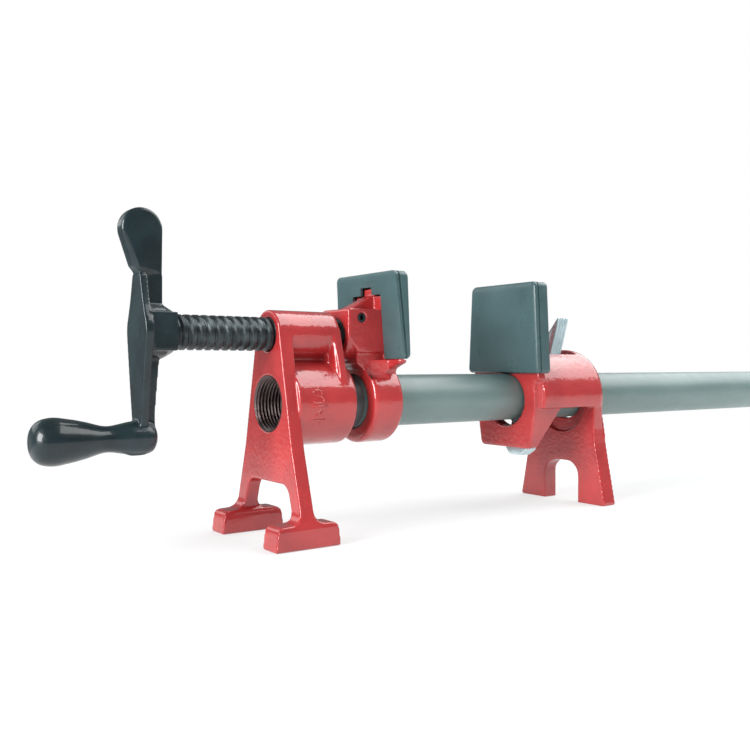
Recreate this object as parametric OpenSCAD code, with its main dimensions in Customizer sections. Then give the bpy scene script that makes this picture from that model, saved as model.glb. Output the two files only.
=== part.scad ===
// Woodworking pipe clamp: a screw head and a clutch tail stop on a 3/4 inch pipe.
// Inside the modules x = 0 is the head's front face, z = 0 is the pipe's axis, and the pipe runs along +x.
// placed() moves every piece to the part's own frame, with its origin at the middle of its footprint.

/* [Pipe] */
// Outside diameter of the pipe, nominal 3/4 inch
pipe_od = 26.67; // [25.5:0.01:27.8]
// Wall of the pipe
pipe_wall = 2.87; // [2:0.01:4]
// Length of the pipe
pipe_length = 457.2; // [340:0.1:1200]
// Length of the pipe that is screwed into the head
pipe_engaged = 20; // [14:0.5:26]
// Length of the thread on each end of the pipe
thread_length = 20; // [14:0.5:26]
// How much slimmer the threaded ends are than the pipe, in radius
thread_relief = 0.25; // [0.1:0.05:0.6]

/* [Head casting] */
// Height of the pipe's axis above the bench
axis_height = 64.2; // [58:0.1:90]
// Height of the spindle's axis above the pipe's axis
spindle_rise = 33; // [31:0.5:36]
// Thickness of the head's plate and its legs
head_plate = 7; // [5:0.5:10]
// Length of the pipe boss behind the plate
pipe_boss_length = 31.5; // [24:0.5:35]
// Wall of the pipe boss round its thread
pipe_boss_wall = 7.1; // [5:0.1:8]
// Length of the spindle boss behind the plate
spindle_boss_length = 27.5; // [24:0.5:30]
// Wall of the spindle boss round its thread
spindle_boss_wall = 3.5; // [3:0.1:4.5]
// Thickness of the flange that ties the two bosses together
boss_flange = 5; // [3:0.5:7]
// Half width of the plate just under the pipe boss
head_waist = 22.6; // [21:0.1:25]
// Half width over the outer sides of the feet
foot_reach = 33; // [30:0.5:40]
// Length of a foot along the pipe
foot_length = 34; // [30:1:60]
// Width of a foot
foot_width = 13; // [10:0.5:15]
// Height of a foot
foot_height = 11; // [7:0.5:14]
// Height of the arch between the legs
arch_height = 27.5; // [20:0.5:32]
// Half width of the arch at its top
arch_half = 18.5; // [12:0.5:20]
// Chamfer of the mouth of the pipe thread
mouth_chamfer = 0.8; // [0.4:0.1:1.5]

/* [Spindle] */
// Outside diameter of the screw
spindle_d = 16; // [14:0.1:17]
// Screw showing between the crank's hub and the head
spindle_out = 48; // [30:0.5:60]
// Depth of the blind socket that holds the screw's end
socket_depth = 13.4; // [11:0.1:15]
// Diameter of the spring pin that keeps the screw in the jaw
jaw_pin_d = 4.6; // [3:0.1:5]
// Depth of the groove that the pin runs in
groove_depth = 1.8; // [1:0.1:2.4]

/* [Crank] */
// Diameter of the crank's hub
hub_d = 24; // [21:0.5:28]
// Length of the hub's thick part
hub_length = 10.8; // [9:0.1:16]
// Length of the hub's tapered shoulder
shoulder_length = 5; // [4:0.5:12]
// Diameter of the spindle's tenon in the hub
tenon_d = 8.4; // [6:0.1:12]
// Throw from the spindle's axis to the grip's axis
crank_throw = 46; // [40:1:70]
// Rise from the spindle's axis to the middle of the finger knob
knob_rise = 42.4; // [36:0.1:60]
// Radius of the finger knob
knob_r = 10.5; // [7:0.5:12]
// Thickness of the arm's flange
arm_flange = 3.6; // [2.5:0.1:5]
// Thickness of the arm's web
arm_web = 6; // [4:0.5:8]
// Greatest radius of the grip
grip_r = 9.9; // [7.5:0.1:13]
// Length of the grip beyond the crank's face
grip_length = 44.1; // [36:0.1:70]

/* [Sliding jaw] */
// Gap between the spindle boss and the jaw's socket block as shown
jaw_standoff = 4.1; // [1:0.1:12]
// Length of the jaw casting from the socket to the clamping face
jaw_length = 26.4; // [25:0.1:32]
// Length of the ring on the pipe
ring_length = 18; // [12:0.5:18]
// Outside radius of the ring
ring_r = 21; // [18:0.5:21]
// How far the ring reaches past the clamping face
ring_overhang = 1.5; // [0:0.1:2]
// Half width of the socket block
block_half = 12; // [11.5:0.5:13]
// Half width of the web between the block and the ring
web_half = 10.5; // [8:0.5:11]
// Half width of the ledge under the pad
ledge_half = 24.5; // [18:0.5:26]
// Thickness of the rib behind a face plate
rib_thick = 8; // [5:0.5:9]
// Radial clearance of the jaw's ring on the pipe
ring_gap = 0.3; // [0.2:0.05:0.4]

/* [Pads] */
// Height of the top of both pads above the pipe's axis
pad_top = 64.9; // [64:0.1:70]
// Half width of a pad along its top
pad_half_top = 26; // [24:0.5:30]
// Half width of a pad along its bottom
pad_half_bottom = 28.4; // [27:0.1:32]
// Height of the jaw's pad
jaw_pad_height = 43.5; // [36:0.1:43.5]
// Depth of the jaw's pad along its top
jaw_pad_depth = 8.4; // [7.6:0.1:9.5]
// Depth of the tail's pad
tail_pad_depth = 9.7; // [9.3:0.1:11]
// Thickness of a pad in front of its face plate
pad_front = 2.6; // [2:0.1:3]
// Wall of a pad round its face plate
pad_wall = 2.2; // [1.6:0.1:3]

/* [Tail stop] */
// Opening between the two clamping faces as shown
jaw_opening = 88; // [60:1:240]
// Thickness of the tail's face plate
face_plate = 5.4; // [4:0.1:6]
// Thickness of the plate round the pipe
ring_plate = 8.5; // [7:0.1:10]
// Half width of the plate round the pipe
ring_plate_half = 23.5; // [22:0.1:24.5]
// Reach of the plate round the pipe below the pipe's axis
ring_plate_drop = 29; // [26:0.5:32]
// Radius of the holes that hang on the pipe
hang_hole_r = 15.2; // [14.5:0.1:16]
// Gap left between the hanging holes and the top of the pipe
hang_gap = 0.1; // [0.05:0.05:0.3]
// Outside radius of the saddle over the clutch
saddle_r = 27.5; // [27:0.1:29]
// Wall of the saddle
saddle_wall = 5.5; // [5:0.1:6]
// Inside length of the clutch housing
housing_length = 39; // [36:0.5:48]
// Thickness of the rear plate and its legs
rear_plate = 10; // [7:0.5:12]
// Half width of the rear plate below the saddle
tail_waist = 25.5; // [24:0.5:30]
// Half width over the tail's legs at the bench
tail_reach = 33.5; // [30:0.5:40]
// Half width of the gap between the tail's legs
leg_gap_half = 13.2; // [8:0.1:16]
// Height of the gap between the tail's legs
leg_gap_height = 24.6; // [16:0.1:30]
// Length of the cheeks behind the plate round the pipe, under the saddle
cheek_length = 13.2; // [8:0.1:15]
// Thickness of the plate round the pipe along its lower edge
ring_plate_toe = 4.6; // [3:0.1:6]

/* [Clutch] */
// Number of clutch plates
plate_count = 4; // [1:1:4]
// Thickness of a clutch plate
plate_t = 2; // [1.6:0.05:2.2]
// Gap between two clutch plates
plate_gap = 0.1; // [0.05:0.05:0.2]
// Lean of the plates while they grip the pipe
plate_lean = 18; // [14:0.5:19]
// Distance of the first plate's pivot behind the plate round the pipe
pivot_back = 17.2; // [16.8:0.1:18]
// Half width of a plate round the pipe
plate_body_r = 18; // [17:0.1:19]
// Radius of the hole in a plate
plate_hole_r = 14.8; // [14.8:0.05:15.4]
// Half width of the plates' neck and horns
horn_half = 10.5; // [9:0.1:11]
// Length of the horns above the pivot
horn_length = 25.4; // [20:0.1:30]
// Half width of the plates' tail tab
tab_half = 8; // [5:0.1:8.5]
// Reach of the tail tab below the pivot
tab_length = 58.6; // [52:0.1:62]
// Outside diameter of the clutch spring
spring_od = 5.6; // [5:0.1:5.8]
// Wire of the clutch spring
spring_wire = 0.8; // [0.6:0.05:1]
// Turns of the clutch spring
spring_turns = 7; // [5:1:7]

/* [Fits] */
// Radial clearance of a screwed or pinned joint
screw_gap = 0.05; // [0.02:0.01:0.1]
// Gap between pieces that touch or run close
seat_gap = 0.3; // [0.2:0.05:0.4]
// Gap between a pad and its face plate
pad_gap = 0.25; // [0.1:0.05:0.4]

/* [Hidden] */
$fn = 64;
cut = 1;
casting_red = [0.80, 0.16, 0.17];
black_casting = [0.07, 0.08, 0.09];
black_screw = [0.13, 0.17, 0.18];
pipe_grey = [0.46, 0.55, 0.54];
pad_slate = [0.30, 0.38, 0.39];
zinc = [0.72, 0.78, 0.80];

pipe_r = pipe_od / 2;
spindle_r = spindle_d / 2;
pipe_boss_r = pipe_r + screw_gap + pipe_boss_wall;
spindle_boss_r = spindle_r + screw_gap + spindle_boss_wall;
pipe_boss_end = head_plate + pipe_boss_length;
spindle_boss_end = head_plate + spindle_boss_length;
pipe_start = pipe_boss_end - pipe_engaged;
pipe_end = pipe_start + pipe_length;
pipe_thread_r = pipe_r - thread_relief;
thread_bore_r = pipe_thread_r + screw_gap;
waist_z = -20;

// Crank: the hub's face, the arm and the grip
shoulder_end = -spindle_out;
hub_start = shoulder_end - shoulder_length;
crank_face = hub_start - hub_length;
grip_end = crank_face - grip_length;
grip_z = spindle_rise - crank_throw;
knob_z = spindle_rise + knob_rise;
knob_x = crank_face + 2;

// Sliding jaw
socket_face = spindle_boss_end + jaw_standoff;
jaw_face = socket_face + jaw_length;
face_x = jaw_face - pad_front - pad_gap;
ring_end = jaw_face + ring_overhang;
ring_start = ring_end - ring_length;
screw_end = socket_face + socket_depth - seat_gap;
groove_r = spindle_r - groove_depth;
jaw_pin_r = jaw_pin_d / 2;
jaw_pin_back = 8;
jaw_pin_x = socket_face + jaw_pin_back;
jaw_pin_z = spindle_rise + groove_r + jaw_pin_r + seat_gap;
block_cover = 4.4;
block_drop = 8.3;
web_set_back = 6;
block_top = jaw_pin_z + block_cover;
block_low = spindle_rise - block_drop;
web_front = socket_face + web_set_back;
jaw_pad_bottom = pad_top - jaw_pad_height;
pad_lean = 3.4;

// The jaw's face plate is stepped at its top: the wide part, the shoulders and the step over the rib
face_rise = 1.8;
shoulder_drop = 11.6;
step_drop = 7.6;
step_side = 0.2;
face_wide_top = block_top + face_rise;
shoulder_top = pad_top - shoulder_drop;
shoulder_half = block_half - seat_gap;
step_top = pad_top - step_drop;
step_half = rib_thick / 2 + step_side;
face_thick_top = 3.6;
face_thick_low = 1;

// Tail stop
tail_face = jaw_face + jaw_opening;
plate_front = tail_face + pad_front + pad_gap;
plate_back = plate_front + ring_plate;
face_back = plate_front + face_plate;
housing_end = plate_back + housing_length;
tail_end = housing_end + rear_plate;
hang_z = pipe_r + hang_gap - hang_hole_r;
saddle_in = saddle_r - saddle_wall;
tail_pad_bottom = pipe_r + seat_gap;
tail_rib_back = 26;
gusset_top = pad_top - 4.5;
window_top = -6;

// Clutch
pivot_x = plate_back + pivot_back;
pivot_z = saddle_in;
plate_pitch = (plate_t + plate_gap) / cos(plate_lean);
hole_drop = (pivot_z - plate_t / 2 * sin(plate_lean)) / cos(plate_lean);
slot_front = pivot_x - 0.2;
slot_half = horn_half + 1;
slot_relief = (pivot_z - sqrt(saddle_in * saddle_in - slot_half * slot_half)) * tan(plate_lean) + seat_gap;
notch_half = rib_thick / 2 + 0.8;
spring_r = (spring_od - spring_wire) / 2;
spring_z = pipe_r + 1.1 + spring_od / 2;
plate_stack_back = pivot_x + (plate_count - 1) * plate_pitch + plate_t / cos(plate_lean)
    + max(0, (spring_z + spring_od / 2 - pivot_z) * tan(plate_lean));
spring_seat = 2;
spring_start = plate_stack_back + seat_gap;
spring_end = housing_end + spring_seat - seat_gap / 2;

origin_x = -(grip_end + pipe_end) / 2;

// Points of an outline whose corners [x, y, r] are rounded to radius r
function rounded(corners, step = 18) = [
    for (i = [0 : len(corners) - 1])
        let (
            n = len(corners),
            b = corners[i],
            p = [b[0], b[1]],
            a = [corners[(i + n - 1) % n][0], corners[(i + n - 1) % n][1]],
            c = [corners[(i + 1) % n][0], corners[(i + 1) % n][1]],
            u = (a - p) / norm(a - p),
            v = (c - p) / norm(c - p),
            half = acos(max(-1, min(1, u * v))) / 2,
            w = (u + v) / max(norm(u + v), 0.0001),
            middle = p + w * b[2] / sin(half),
            reach = b[2] / tan(half),
            from = p + u * reach - middle,
            to = p + v * reach - middle,
            a0 = atan2(from[1], from[0]),
            turn = atan2(from[0] * to[1] - from[1] * to[0], from * to),
            steps = max(1, ceil(abs(turn) / step))
        )
        each b[2] == 0 ? [p] : [for (k = [0 : steps])
            middle + b[2] * [cos(a0 + turn * k / steps), sin(a0 + turn * k / steps)]]
];

// Adds the other half of an outline, in [y, z, r] from the bottom up, as its mirror image
function both_sides(half_outline) = concat(half_outline,
    [for (i = [len(half_outline) - 1 : -1 : 0]) [-half_outline[i][0], half_outline[i][1], half_outline[i][2]]]);

module placed() translate([origin_x, 0, axis_height]) children();
// Stands a (y, z) outline up across the pipe, from x = from to x = to
module slab(from, to) translate([from, 0, 0]) rotate([90, 0, 90]) linear_extrude(to - from) children();
// Stands an (x, z) outline along the pipe, half on each side of its middle
module rib(thick) rotate([90, 0, 0]) linear_extrude(thick, center = true) children();
// A rod or a bore along x
module rod(from, to, r, z = 0) translate([from, 0, z]) rotate([0, 90, 0]) cylinder(h = to - from, r = r);
// Turns an (r, x) outline round an axis along x
module revolve(points, z = 0) translate([0, 0, z]) rotate([0, 90, 0]) rotate_extrude() polygon(points);

module pipe() placed() color(pipe_grey) {
    chamfer = 0.8;
    bore_r = pipe_r - pipe_wall;
    near_thread = pipe_start + max(thread_length, pipe_engaged);
    far_thread = pipe_end - thread_length;
    revolve([[bore_r, pipe_start], [pipe_thread_r - chamfer, pipe_start], [pipe_thread_r, pipe_start + chamfer],
        [pipe_thread_r, near_thread], [pipe_r, near_thread], [pipe_r, far_thread], [pipe_thread_r, far_thread],
        [pipe_thread_r, pipe_end - chamfer], [pipe_thread_r - chamfer, pipe_end], [bore_r, pipe_end]]);
}

// The head's plate and legs, seen along the pipe
module head_outline() {
    foot_top = foot_height - axis_height;
    arch_top = arch_height - axis_height;
    difference() {
        union() {
            translate([0, spindle_rise]) circle(r = spindle_boss_r);
            polygon(rounded(both_sides([
                [foot_reach, foot_top - 2, 0],
                [head_waist, waist_z, 40],
                [spindle_boss_r, spindle_rise, 0]])));
        }
        polygon(rounded(both_sides([
            [arch_half + (arch_height + 2) * 0.32, -axis_height - 2, 0],
            [arch_half, arch_top, 7.5]])));
    }
}

// One foot, a bar along the pipe with a domed top, blended into its leg
module head_foot() {
    foot_top = foot_height - axis_height;
    middle = head_plate / 2 - foot_length / 2;
    inner = foot_reach - foot_width;
    intersection() {
        translate([0, (foot_reach + inner) / 2, 0]) rib(foot_width) polygon(rounded([
            [middle, -axis_height, 0.5],
            [middle + foot_length, -axis_height, 0.5],
            [middle + foot_length - 1.5, foot_top, 3],
            [head_plate, foot_top + 0.6, 5],
            [head_plate, foot_top + 7, 0],
            [0, foot_top + 7, 0],
            [0, foot_top + 0.6, 5],
            [middle + 1.5, foot_top, 3]]));
        slab(middle - cut, middle + foot_length + cut) union() {
            polygon(rounded([
                [inner, -axis_height, 1],
                [foot_reach, -axis_height, 1],
                [foot_reach, foot_top + 0.8, 4],
                [inner, foot_top + 0.8, 4]]));
            head_outline();
        }
    }
}

module head_casting() placed() color(casting_red) {
    lip = 2.2;
    difference() {
        union() {
            slab(0, head_plate) head_outline();
            for (side = [0, 1]) mirror([0, side, 0]) head_foot();
            revolve(rounded([[0, head_plate - cut, 0], [pipe_boss_r, head_plate - cut, 0],
                [pipe_boss_r, pipe_boss_end, 1.5], [0, pipe_boss_end, 0]]));
            revolve(rounded([[0, head_plate - cut, 0], [spindle_boss_r, head_plate - cut, 0],
                [spindle_boss_r, spindle_boss_end, lip], [0, spindle_boss_end, 0]]), spindle_rise);
            slab(head_plate - cut, spindle_boss_end - boss_flange)
                polygon(rounded(both_sides([[9, 12, 0], [7.5, spindle_rise - 6, 0]])));
            slab(spindle_boss_end - boss_flange, spindle_boss_end - 0.5) polygon(rounded(both_sides([
                [16.5, 6, 2], [spindle_boss_r - 0.4, spindle_rise, 2]])));
        }
        rod(-cut, pipe_boss_end + cut, thread_bore_r);
        revolve([[0, -cut], [thread_bore_r + mouth_chamfer + cut, -cut], [thread_bore_r, mouth_chamfer],
            [0, mouth_chamfer]]);
        rod(-cut, spindle_boss_end + cut, spindle_r + screw_gap, spindle_rise);
    }
}

// The screw: its threaded length is plain here, with the groove for the pin and the tenon in the hub
module spindle() placed() color(black_screw) {
    tenon_r = tenon_d / 2;
    groove_half = jaw_pin_r + seat_gap;
    revolve(concat([[0, crank_face - 0.6], [tenon_r - 1.2, crank_face - 0.4], [tenon_r, crank_face + 0.4],
        [tenon_r, shoulder_end], [spindle_r - 1, shoulder_end], [spindle_r, shoulder_end + 1],
        [spindle_r, jaw_pin_x - groove_half], [groove_r, jaw_pin_x - groove_half],
        [groove_r, jaw_pin_x + groove_half], [spindle_r, jaw_pin_x + groove_half],
        [spindle_r, screw_end - 1], [spindle_r - 1, screw_end], [0, screw_end]]), spindle_rise);
}

// The crank's flange, seen along the spindle: widest at the hub and narrow at the knob and the grip
module arm_flange_outline() {
    knob_foot = knob_z - 13;
    elbow_top = grip_z + 7;
    polygon(rounded(both_sides([
        [5.4, grip_z - 3, 3],
        [5.7, elbow_top, 20],
        [8.4, spindle_rise - 23, 60],
        [hub_d / 2 - 0.6, spindle_rise - 3, 0],
        [hub_d / 2 - 0.6, spindle_rise + 3, 0],
        [7.6, spindle_rise + 13, 30],
        [3.3, knob_foot, 6],
        [3.1, knob_z, 0]])));
}

// The crank's web, elbow and knob neck, seen from the side
module arm_web_outline() {
    elbow_x = crank_face + 8.2;
    elbow_low = grip_z - 7.5;
    polygon(rounded([
        [crank_face + 0.5, grip_z + 8, 0],
        [crank_face - 4, grip_z + 6.2, 4],
        [crank_face - 7, grip_z + 6, 0],
        [crank_face - 7, grip_z - 6, 0],
        [crank_face - 3, elbow_low, 4],
        [elbow_x, elbow_low, 7],
        [elbow_x - 0.9, grip_z + 9, 20],
        [crank_face + 8.5, grip_z + 24, 30],
        [crank_face + 9.8, spindle_rise - 8, 0],
        [crank_face + hub_length, spindle_rise, 0],
        [crank_face + 11, spindle_rise + 25, 20],
        [knob_x + knob_r, knob_z, 0],
        [knob_x - knob_r * 0.94, knob_z - 3, 4],
        [crank_face, knob_z - 15.5, 6]]));
}

module crank_handle() placed() color(black_casting) difference() {
    knob_half = 3.9;
    neck_r = 5.2;
    hub_nose_r = spindle_r + 1.2;
    union() {
        slab(crank_face, crank_face + arm_flange) arm_flange_outline();
        rib(arm_web) arm_web_outline();
        revolve(rounded([[0, crank_face, 0], [hub_d / 2, crank_face, 1],
            [hub_d / 2, hub_start, 2.5], [hub_nose_r, shoulder_end, 1], [0, shoulder_end, 0]]), spindle_rise);
        // Finger knob, a flat-sided disc
        translate([knob_x, 0, knob_z]) rotate([90, 0, 0]) rotate_extrude() polygon(rounded([
            [0, -knob_half, 0], [knob_r, -knob_half, 2], [knob_r, knob_half, 2], [0, knob_half, 0]]));
        // Grip, slim at the elbow and full near its end
        revolve(rounded([[0, crank_face + arm_flange, 0], [7.4, crank_face + arm_flange, 0],
            [7.2, crank_face - 3, 8], [neck_r, crank_face - grip_length * 0.3, 14],
            [grip_r * 0.84, crank_face - grip_length * 0.54, 40],
            [grip_r + 0.4, crank_face - grip_length * 0.8, 14],
            [grip_r - 1.5, grip_end, 7], [0, grip_end, 0]], 9), grip_z);
    }
    rod(crank_face - cut, shoulder_end + cut, tenon_d / 2 + screw_gap, spindle_rise);
}

// The jaw's socket block, seen from the side
module jaw_block_outline() polygon(rounded([
    [web_front, block_low, 1],
    [socket_face, spindle_rise - 1, 0],
    [socket_face, block_top, 1],
    [face_x - 1, block_top, 0],
    [face_x - 1, block_low, 0]]));

// The centre rib that runs up from the block to the step of the face plate
module jaw_rib_outline() {
    rib_start = socket_face + rib_thick / 2;
    rib_sunk = 5;
    near_top = 0.2;
    rib_top = shoulder_top + 0.1;
    in_plate = 1.5;
    polygon([
        [rib_start, block_top - rib_sunk],
        [rib_start, block_top - near_top],
        [face_x - face_thick_top - face_thick_low, rib_top],
        [face_x - in_plate, rib_top],
        [face_x - in_plate, block_top - rib_sunk]]);
}

// A face plate's outline inside its pad, or with grow its pocket
module face_outline(bottom, grow = 0) {
    inset = pad_wall + pad_gap - grow;
    slope = (pad_half_bottom - pad_half_top) / (pad_top - jaw_pad_bottom);
    low_half = pad_half_top + (pad_top - bottom) * slope - inset;
    polygon(rounded(both_sides([
        [low_half, bottom, 0],
        [pad_half_top - inset, pad_top - inset, 3]])));
}

// The stepped top of the jaw's face plate, or with grow its opening in the pad's back
module face_steps(bottom, grow = 0) polygon(rounded(both_sides([
    [shoulder_half + grow, bottom, 0],
    [shoulder_half + grow, shoulder_top + grow, 1],
    [step_half + grow, shoulder_top + grow, 0.5],
    [step_half + grow, step_top + grow, 0.5]])));

// The foot that carries the pad's lower edge: a ledge that is drawn in to the ring and flares from the web
module jaw_foot() {
    foot_low = ring_r / 5;
    ledge_thick = 1.5;
    neck_drop = 4.5;
    waist_drop = 8;
    flare_back = 7;
    ledge_depth = 5.5;
    ledge_top = jaw_pad_bottom - seat_gap;
    ledge_low = ledge_top - ledge_thick;
    flare_start = web_front + flare_back;
    flare_end = jaw_face - ledge_depth;
    intersection() {
        slab(flare_start, jaw_face) polygon(rounded(both_sides([
            [ring_r * 0.6, foot_low, 0],
            [ring_r * 0.72, ledge_top - waist_drop, 3],
            [ring_r * 0.78, ledge_top - neck_drop, 3],
            [ledge_half, ledge_low, 1],
            [ledge_half, ledge_top, 0.5]])));
        translate([0, 0, foot_low - cut]) linear_extrude(ledge_top - foot_low + 2 * cut) polygon([
            [flare_start - cut, -web_half], [flare_end, -ledge_half - cut], [jaw_face + cut, -ledge_half - cut],
            [jaw_face + cut, ledge_half + cut], [flare_end, ledge_half + cut], [flare_start - cut, web_half]]);
    }
}

module sliding_jaw() placed() color(casting_red) difference() {
    socket_wall = 3.4;
    web_sink = 2;
    web_end = face_x - 1.2;
    ring_round = 2.5;
    plate_low = jaw_pad_bottom - web_sink;
    boss_r = min(block_half, spindle_r + socket_wall);
    union() {
        revolve(rounded([[0, ring_start, 0], [ring_r, ring_start, ring_round],
            [ring_r, ring_end, ring_round], [0, ring_end, 0]]));
        rib(2 * block_half) jaw_block_outline();
        rib(2 * web_half) polygon([[web_front, ring_r - web_sink], [web_front, block_low + web_sink],
            [web_end, block_low + web_sink], [web_end, ring_r - 4 * web_sink],
            [ring_start + web_sink, ring_r - 3 * web_sink]]);
        rib(rib_thick) jaw_rib_outline();
        // Round socket boss in front of the web
        rod(socket_face, web_front + web_sink, boss_r, spindle_rise);
        // Face plate, thinner towards its bottom where the foot takes over
        intersection() {
            slab(face_x - face_thick_top - cut, face_x) union() {
                intersection() {
                    face_outline(plate_low);
                    translate([-pad_half_bottom, 0]) square([2 * pad_half_bottom, face_wide_top]);
                }
                face_steps(block_low);
            }
            rib(4 * pad_half_bottom) polygon([[face_x - face_thick_top, pad_top], [face_x, pad_top],
                [face_x, plate_low], [face_x - face_thick_low, plate_low]]);
        }
        jaw_foot();
    }
    rod(ring_start - cut, ring_end + cut, pipe_r + ring_gap);
    rod(socket_face - cut, socket_face + socket_depth, spindle_r + screw_gap, spindle_rise);
    translate([jaw_pin_x, 0, jaw_pin_z]) rotate([90, 0, 0])
        cylinder(h = 2 * block_half + 2 * cut, r = jaw_pin_r + screw_gap, center = true);
}

// Spring pin: a rolled tube with a slit along its side
module jaw_pin() placed() color(black_screw) translate([jaw_pin_x, 0, jaw_pin_z]) rotate([90, 0, 0])
    difference() {
        cylinder(h = 2 * block_half - 0.6, r = jaw_pin_r, center = true);
        cylinder(h = 2 * block_half + cut, r = jaw_pin_r * 0.55, center = true);
        translate([0, jaw_pin_r, 0]) cube([0.7, 2 * jaw_pin_r, 2 * block_half + cut], center = true);
    }

// A pad's outline, seen along the pipe, drawn in by inset
module pad_outline(bottom, inset = 0) {
    slope = (pad_half_bottom - pad_half_top) / (pad_top - jaw_pad_bottom);
    low_half = pad_half_top + (pad_top - bottom) * slope;
    edge = 2.2;
    polygon(rounded(both_sides([
        [low_half - inset, bottom + min(inset, 0.8), edge],
        [pad_half_top - inset, pad_top - inset, edge + 0.8]])));
}

// A pad's outside: a soft-edged block, wider at its bottom, whose back leans in by lean towards the bottom.
// x = 0 is its clamping face.
module pad_body(bottom, depth, lean = 0) {
    skin = 0.02;
    soft_edge = 1.6;
    hull() for (layer = [[0, 1.7], [0.5, 0.5], [soft_edge - skin, 0]])
        slab(layer[0], layer[0] + skin) pad_outline(bottom, layer[1]);
    intersection() {
        slab(soft_edge, depth + cut) pad_outline(bottom);
        rib(4 * pad_half_bottom) polygon([[soft_edge - cut, pad_top + cut], [depth, pad_top + cut],
            [depth, pad_top - 2], [depth - lean, bottom], [depth - lean, bottom - cut],
            [soft_edge - cut, bottom - cut]]);
    }
}

module jaw_pad() placed() color(pad_slate) translate([jaw_face, 0, 0]) rotate([0, 0, 180]) difference() {
    pad_body(jaw_pad_bottom, jaw_pad_depth, pad_lean);
    // Pocket for the face plate
    intersection() {
        slab(pad_front, jaw_pad_depth + cut) face_outline(jaw_pad_bottom - 3, pad_gap);
        rib(4 * pad_half_bottom) polygon([[pad_front, pad_top + cut],
            [pad_front + face_thick_top + 2 * pad_gap, pad_top + cut],
            [pad_front + face_thick_low + 2 * pad_gap, jaw_pad_bottom - cut], [pad_front, jaw_pad_bottom - cut]]);
    }
    // Stepped opening over the block and the rib
    slab(pad_front, jaw_pad_depth + cut) face_steps(jaw_pad_bottom - cut, 2 * seat_gap);
}

// The tail's plate round the pipe, seen along the pipe
module ring_plate_outline() polygon(rounded(both_sides([
    [ring_plate_half - 3.5, -ring_plate_drop, 3],
    [ring_plate_half, -8, 6],
    [ring_plate_half, pipe_r, 0]])));

// The tail's legs, seen along the pipe
module tail_leg_outline() {
    gap_top = leg_gap_height - axis_height;
    difference() {
        polygon(rounded(both_sides([
            [tail_reach, -axis_height, 1],
            [tail_waist, -24, 40],
            [saddle_r - 1, 0, 0]])));
        polygon(rounded(both_sides([
            [leg_gap_half, -axis_height - 2, 0],
            [leg_gap_half, gap_top, min(9, leg_gap_half - 1)]])));
    }
}

// The plate round the pipe with its cheeks, seen from the side: thin at its lower edge, long under the saddle
module ring_plate_side() polygon([
    [plate_front, -ring_plate_drop - cut],
    [plate_front + ring_plate_toe, -ring_plate_drop - cut],
    [plate_back + cheek_length, window_top],
    [plate_back + cheek_length, window_top + cut],
    [plate_back, window_top + cut],
    [plate_back, pipe_r + cut],
    [plate_front, pipe_r + cut]]);

module tail_casting() placed() color(casting_red) difference() {
    ease = 3;
    relief_depth = 2.5;
    relief_drop = 3.2;
    gusset_low = saddle_r + 1.2;
    union() {
        // Face plate inside the pad, and the thicker plate round the pipe below it
        slab(plate_front, face_back) face_outline(tail_pad_bottom - 4);
        intersection() {
            slab(plate_front, plate_back + cheek_length + cut) ring_plate_outline();
            rib(4 * ring_plate_half) ring_plate_side();
        }
        // Gusset behind the face plate
        rib(rib_thick) polygon(rounded([
            [face_back - cut, saddle_in, 0],
            [face_back - cut, gusset_top, 0],
            [face_back + 3, gusset_top, 0],
            [face_back + tail_rib_back - 1, gusset_top - 6.5, 3],
            [face_back + tail_rib_back + 2, gusset_low, 1],
            [slot_front - 1, gusset_low, 0],
            [slot_front - 1, saddle_in, 0]]));
        // Saddle over the clutch, rounded down into the rear plate
        difference() {
            revolve(rounded([[0, face_back - cut, 0], [saddle_r, face_back - cut, 0],
                [saddle_r, tail_end, 7], [0, tail_end, 0]], 15));
            translate([face_back - 2 * cut, -saddle_r - cut, -2 * saddle_r + window_top])
                cube([tail_end - face_back + 3 * cut, 2 * saddle_r + 2 * cut, 2 * saddle_r]);
        }
        // Rear plate and legs, with edges eased where the legs meet the round of the saddle
        intersection() {
            slab(housing_end, tail_end) tail_leg_outline();
            union() {
                slab(housing_end, tail_end - ease)
                    square([4 * tail_reach, 4 * axis_height], center = true);
                slab(tail_end - ease - cut, tail_end) polygon(rounded(both_sides([
                    [tail_reach + 1, -axis_height - cut, 0],
                    [tail_waist + 1, -26, 30],
                    [saddle_r - 6, 0, 0]])));
            }
        }
    }
    // Clutch housing
    rod(plate_back, housing_end, saddle_in);
    // Way down between the cheeks
    translate([plate_back, -tab_half - 1.5, -axis_height])
        cube([housing_length, 2 * tab_half + 3, axis_height]);
    // Holes that hang on the pipe, the rear one with a shallow relief in front
    rod(plate_front - cut, plate_back + cut, hang_hole_r, hang_z);
    rod(housing_end - cut, tail_end + cut, hang_hole_r, hang_z);
    rod(housing_end - cut, housing_end + relief_depth, hang_hole_r + 2, hang_z - relief_drop);
    // Slot for the plates' necks and horns, undercut for their leaning corners
    translate([slot_front, -slot_half, spring_z])
        cube([housing_end - slot_front, 2 * slot_half, saddle_r]);
    translate([slot_front - slot_relief, -slot_half, spring_z])
        cube([slot_relief + cut, 2 * slot_half, pivot_z - spring_z]);
    // Seat of the clutch spring
    rod(housing_end - cut, housing_end + spring_seat, spring_od / 2 + seat_gap, spring_z);
}

module tail_pad() placed() color(pad_slate) translate([tail_face, 0, 0]) difference() {
    pocket_depth = face_plate + 2 * pad_gap;
    pad_body(tail_pad_bottom, tail_pad_depth);
    slab(pad_front, pad_front + pocket_depth) face_outline(tail_pad_bottom - 3, pad_gap);
    slab(pad_front, tail_pad_depth + cut) union() {
        circle(r = saddle_r + seat_gap);
        translate([-rib_thick / 2 - seat_gap, 0])
            square([rib_thick + 2 * seat_gap, gusset_top + seat_gap]);
    }
}

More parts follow.
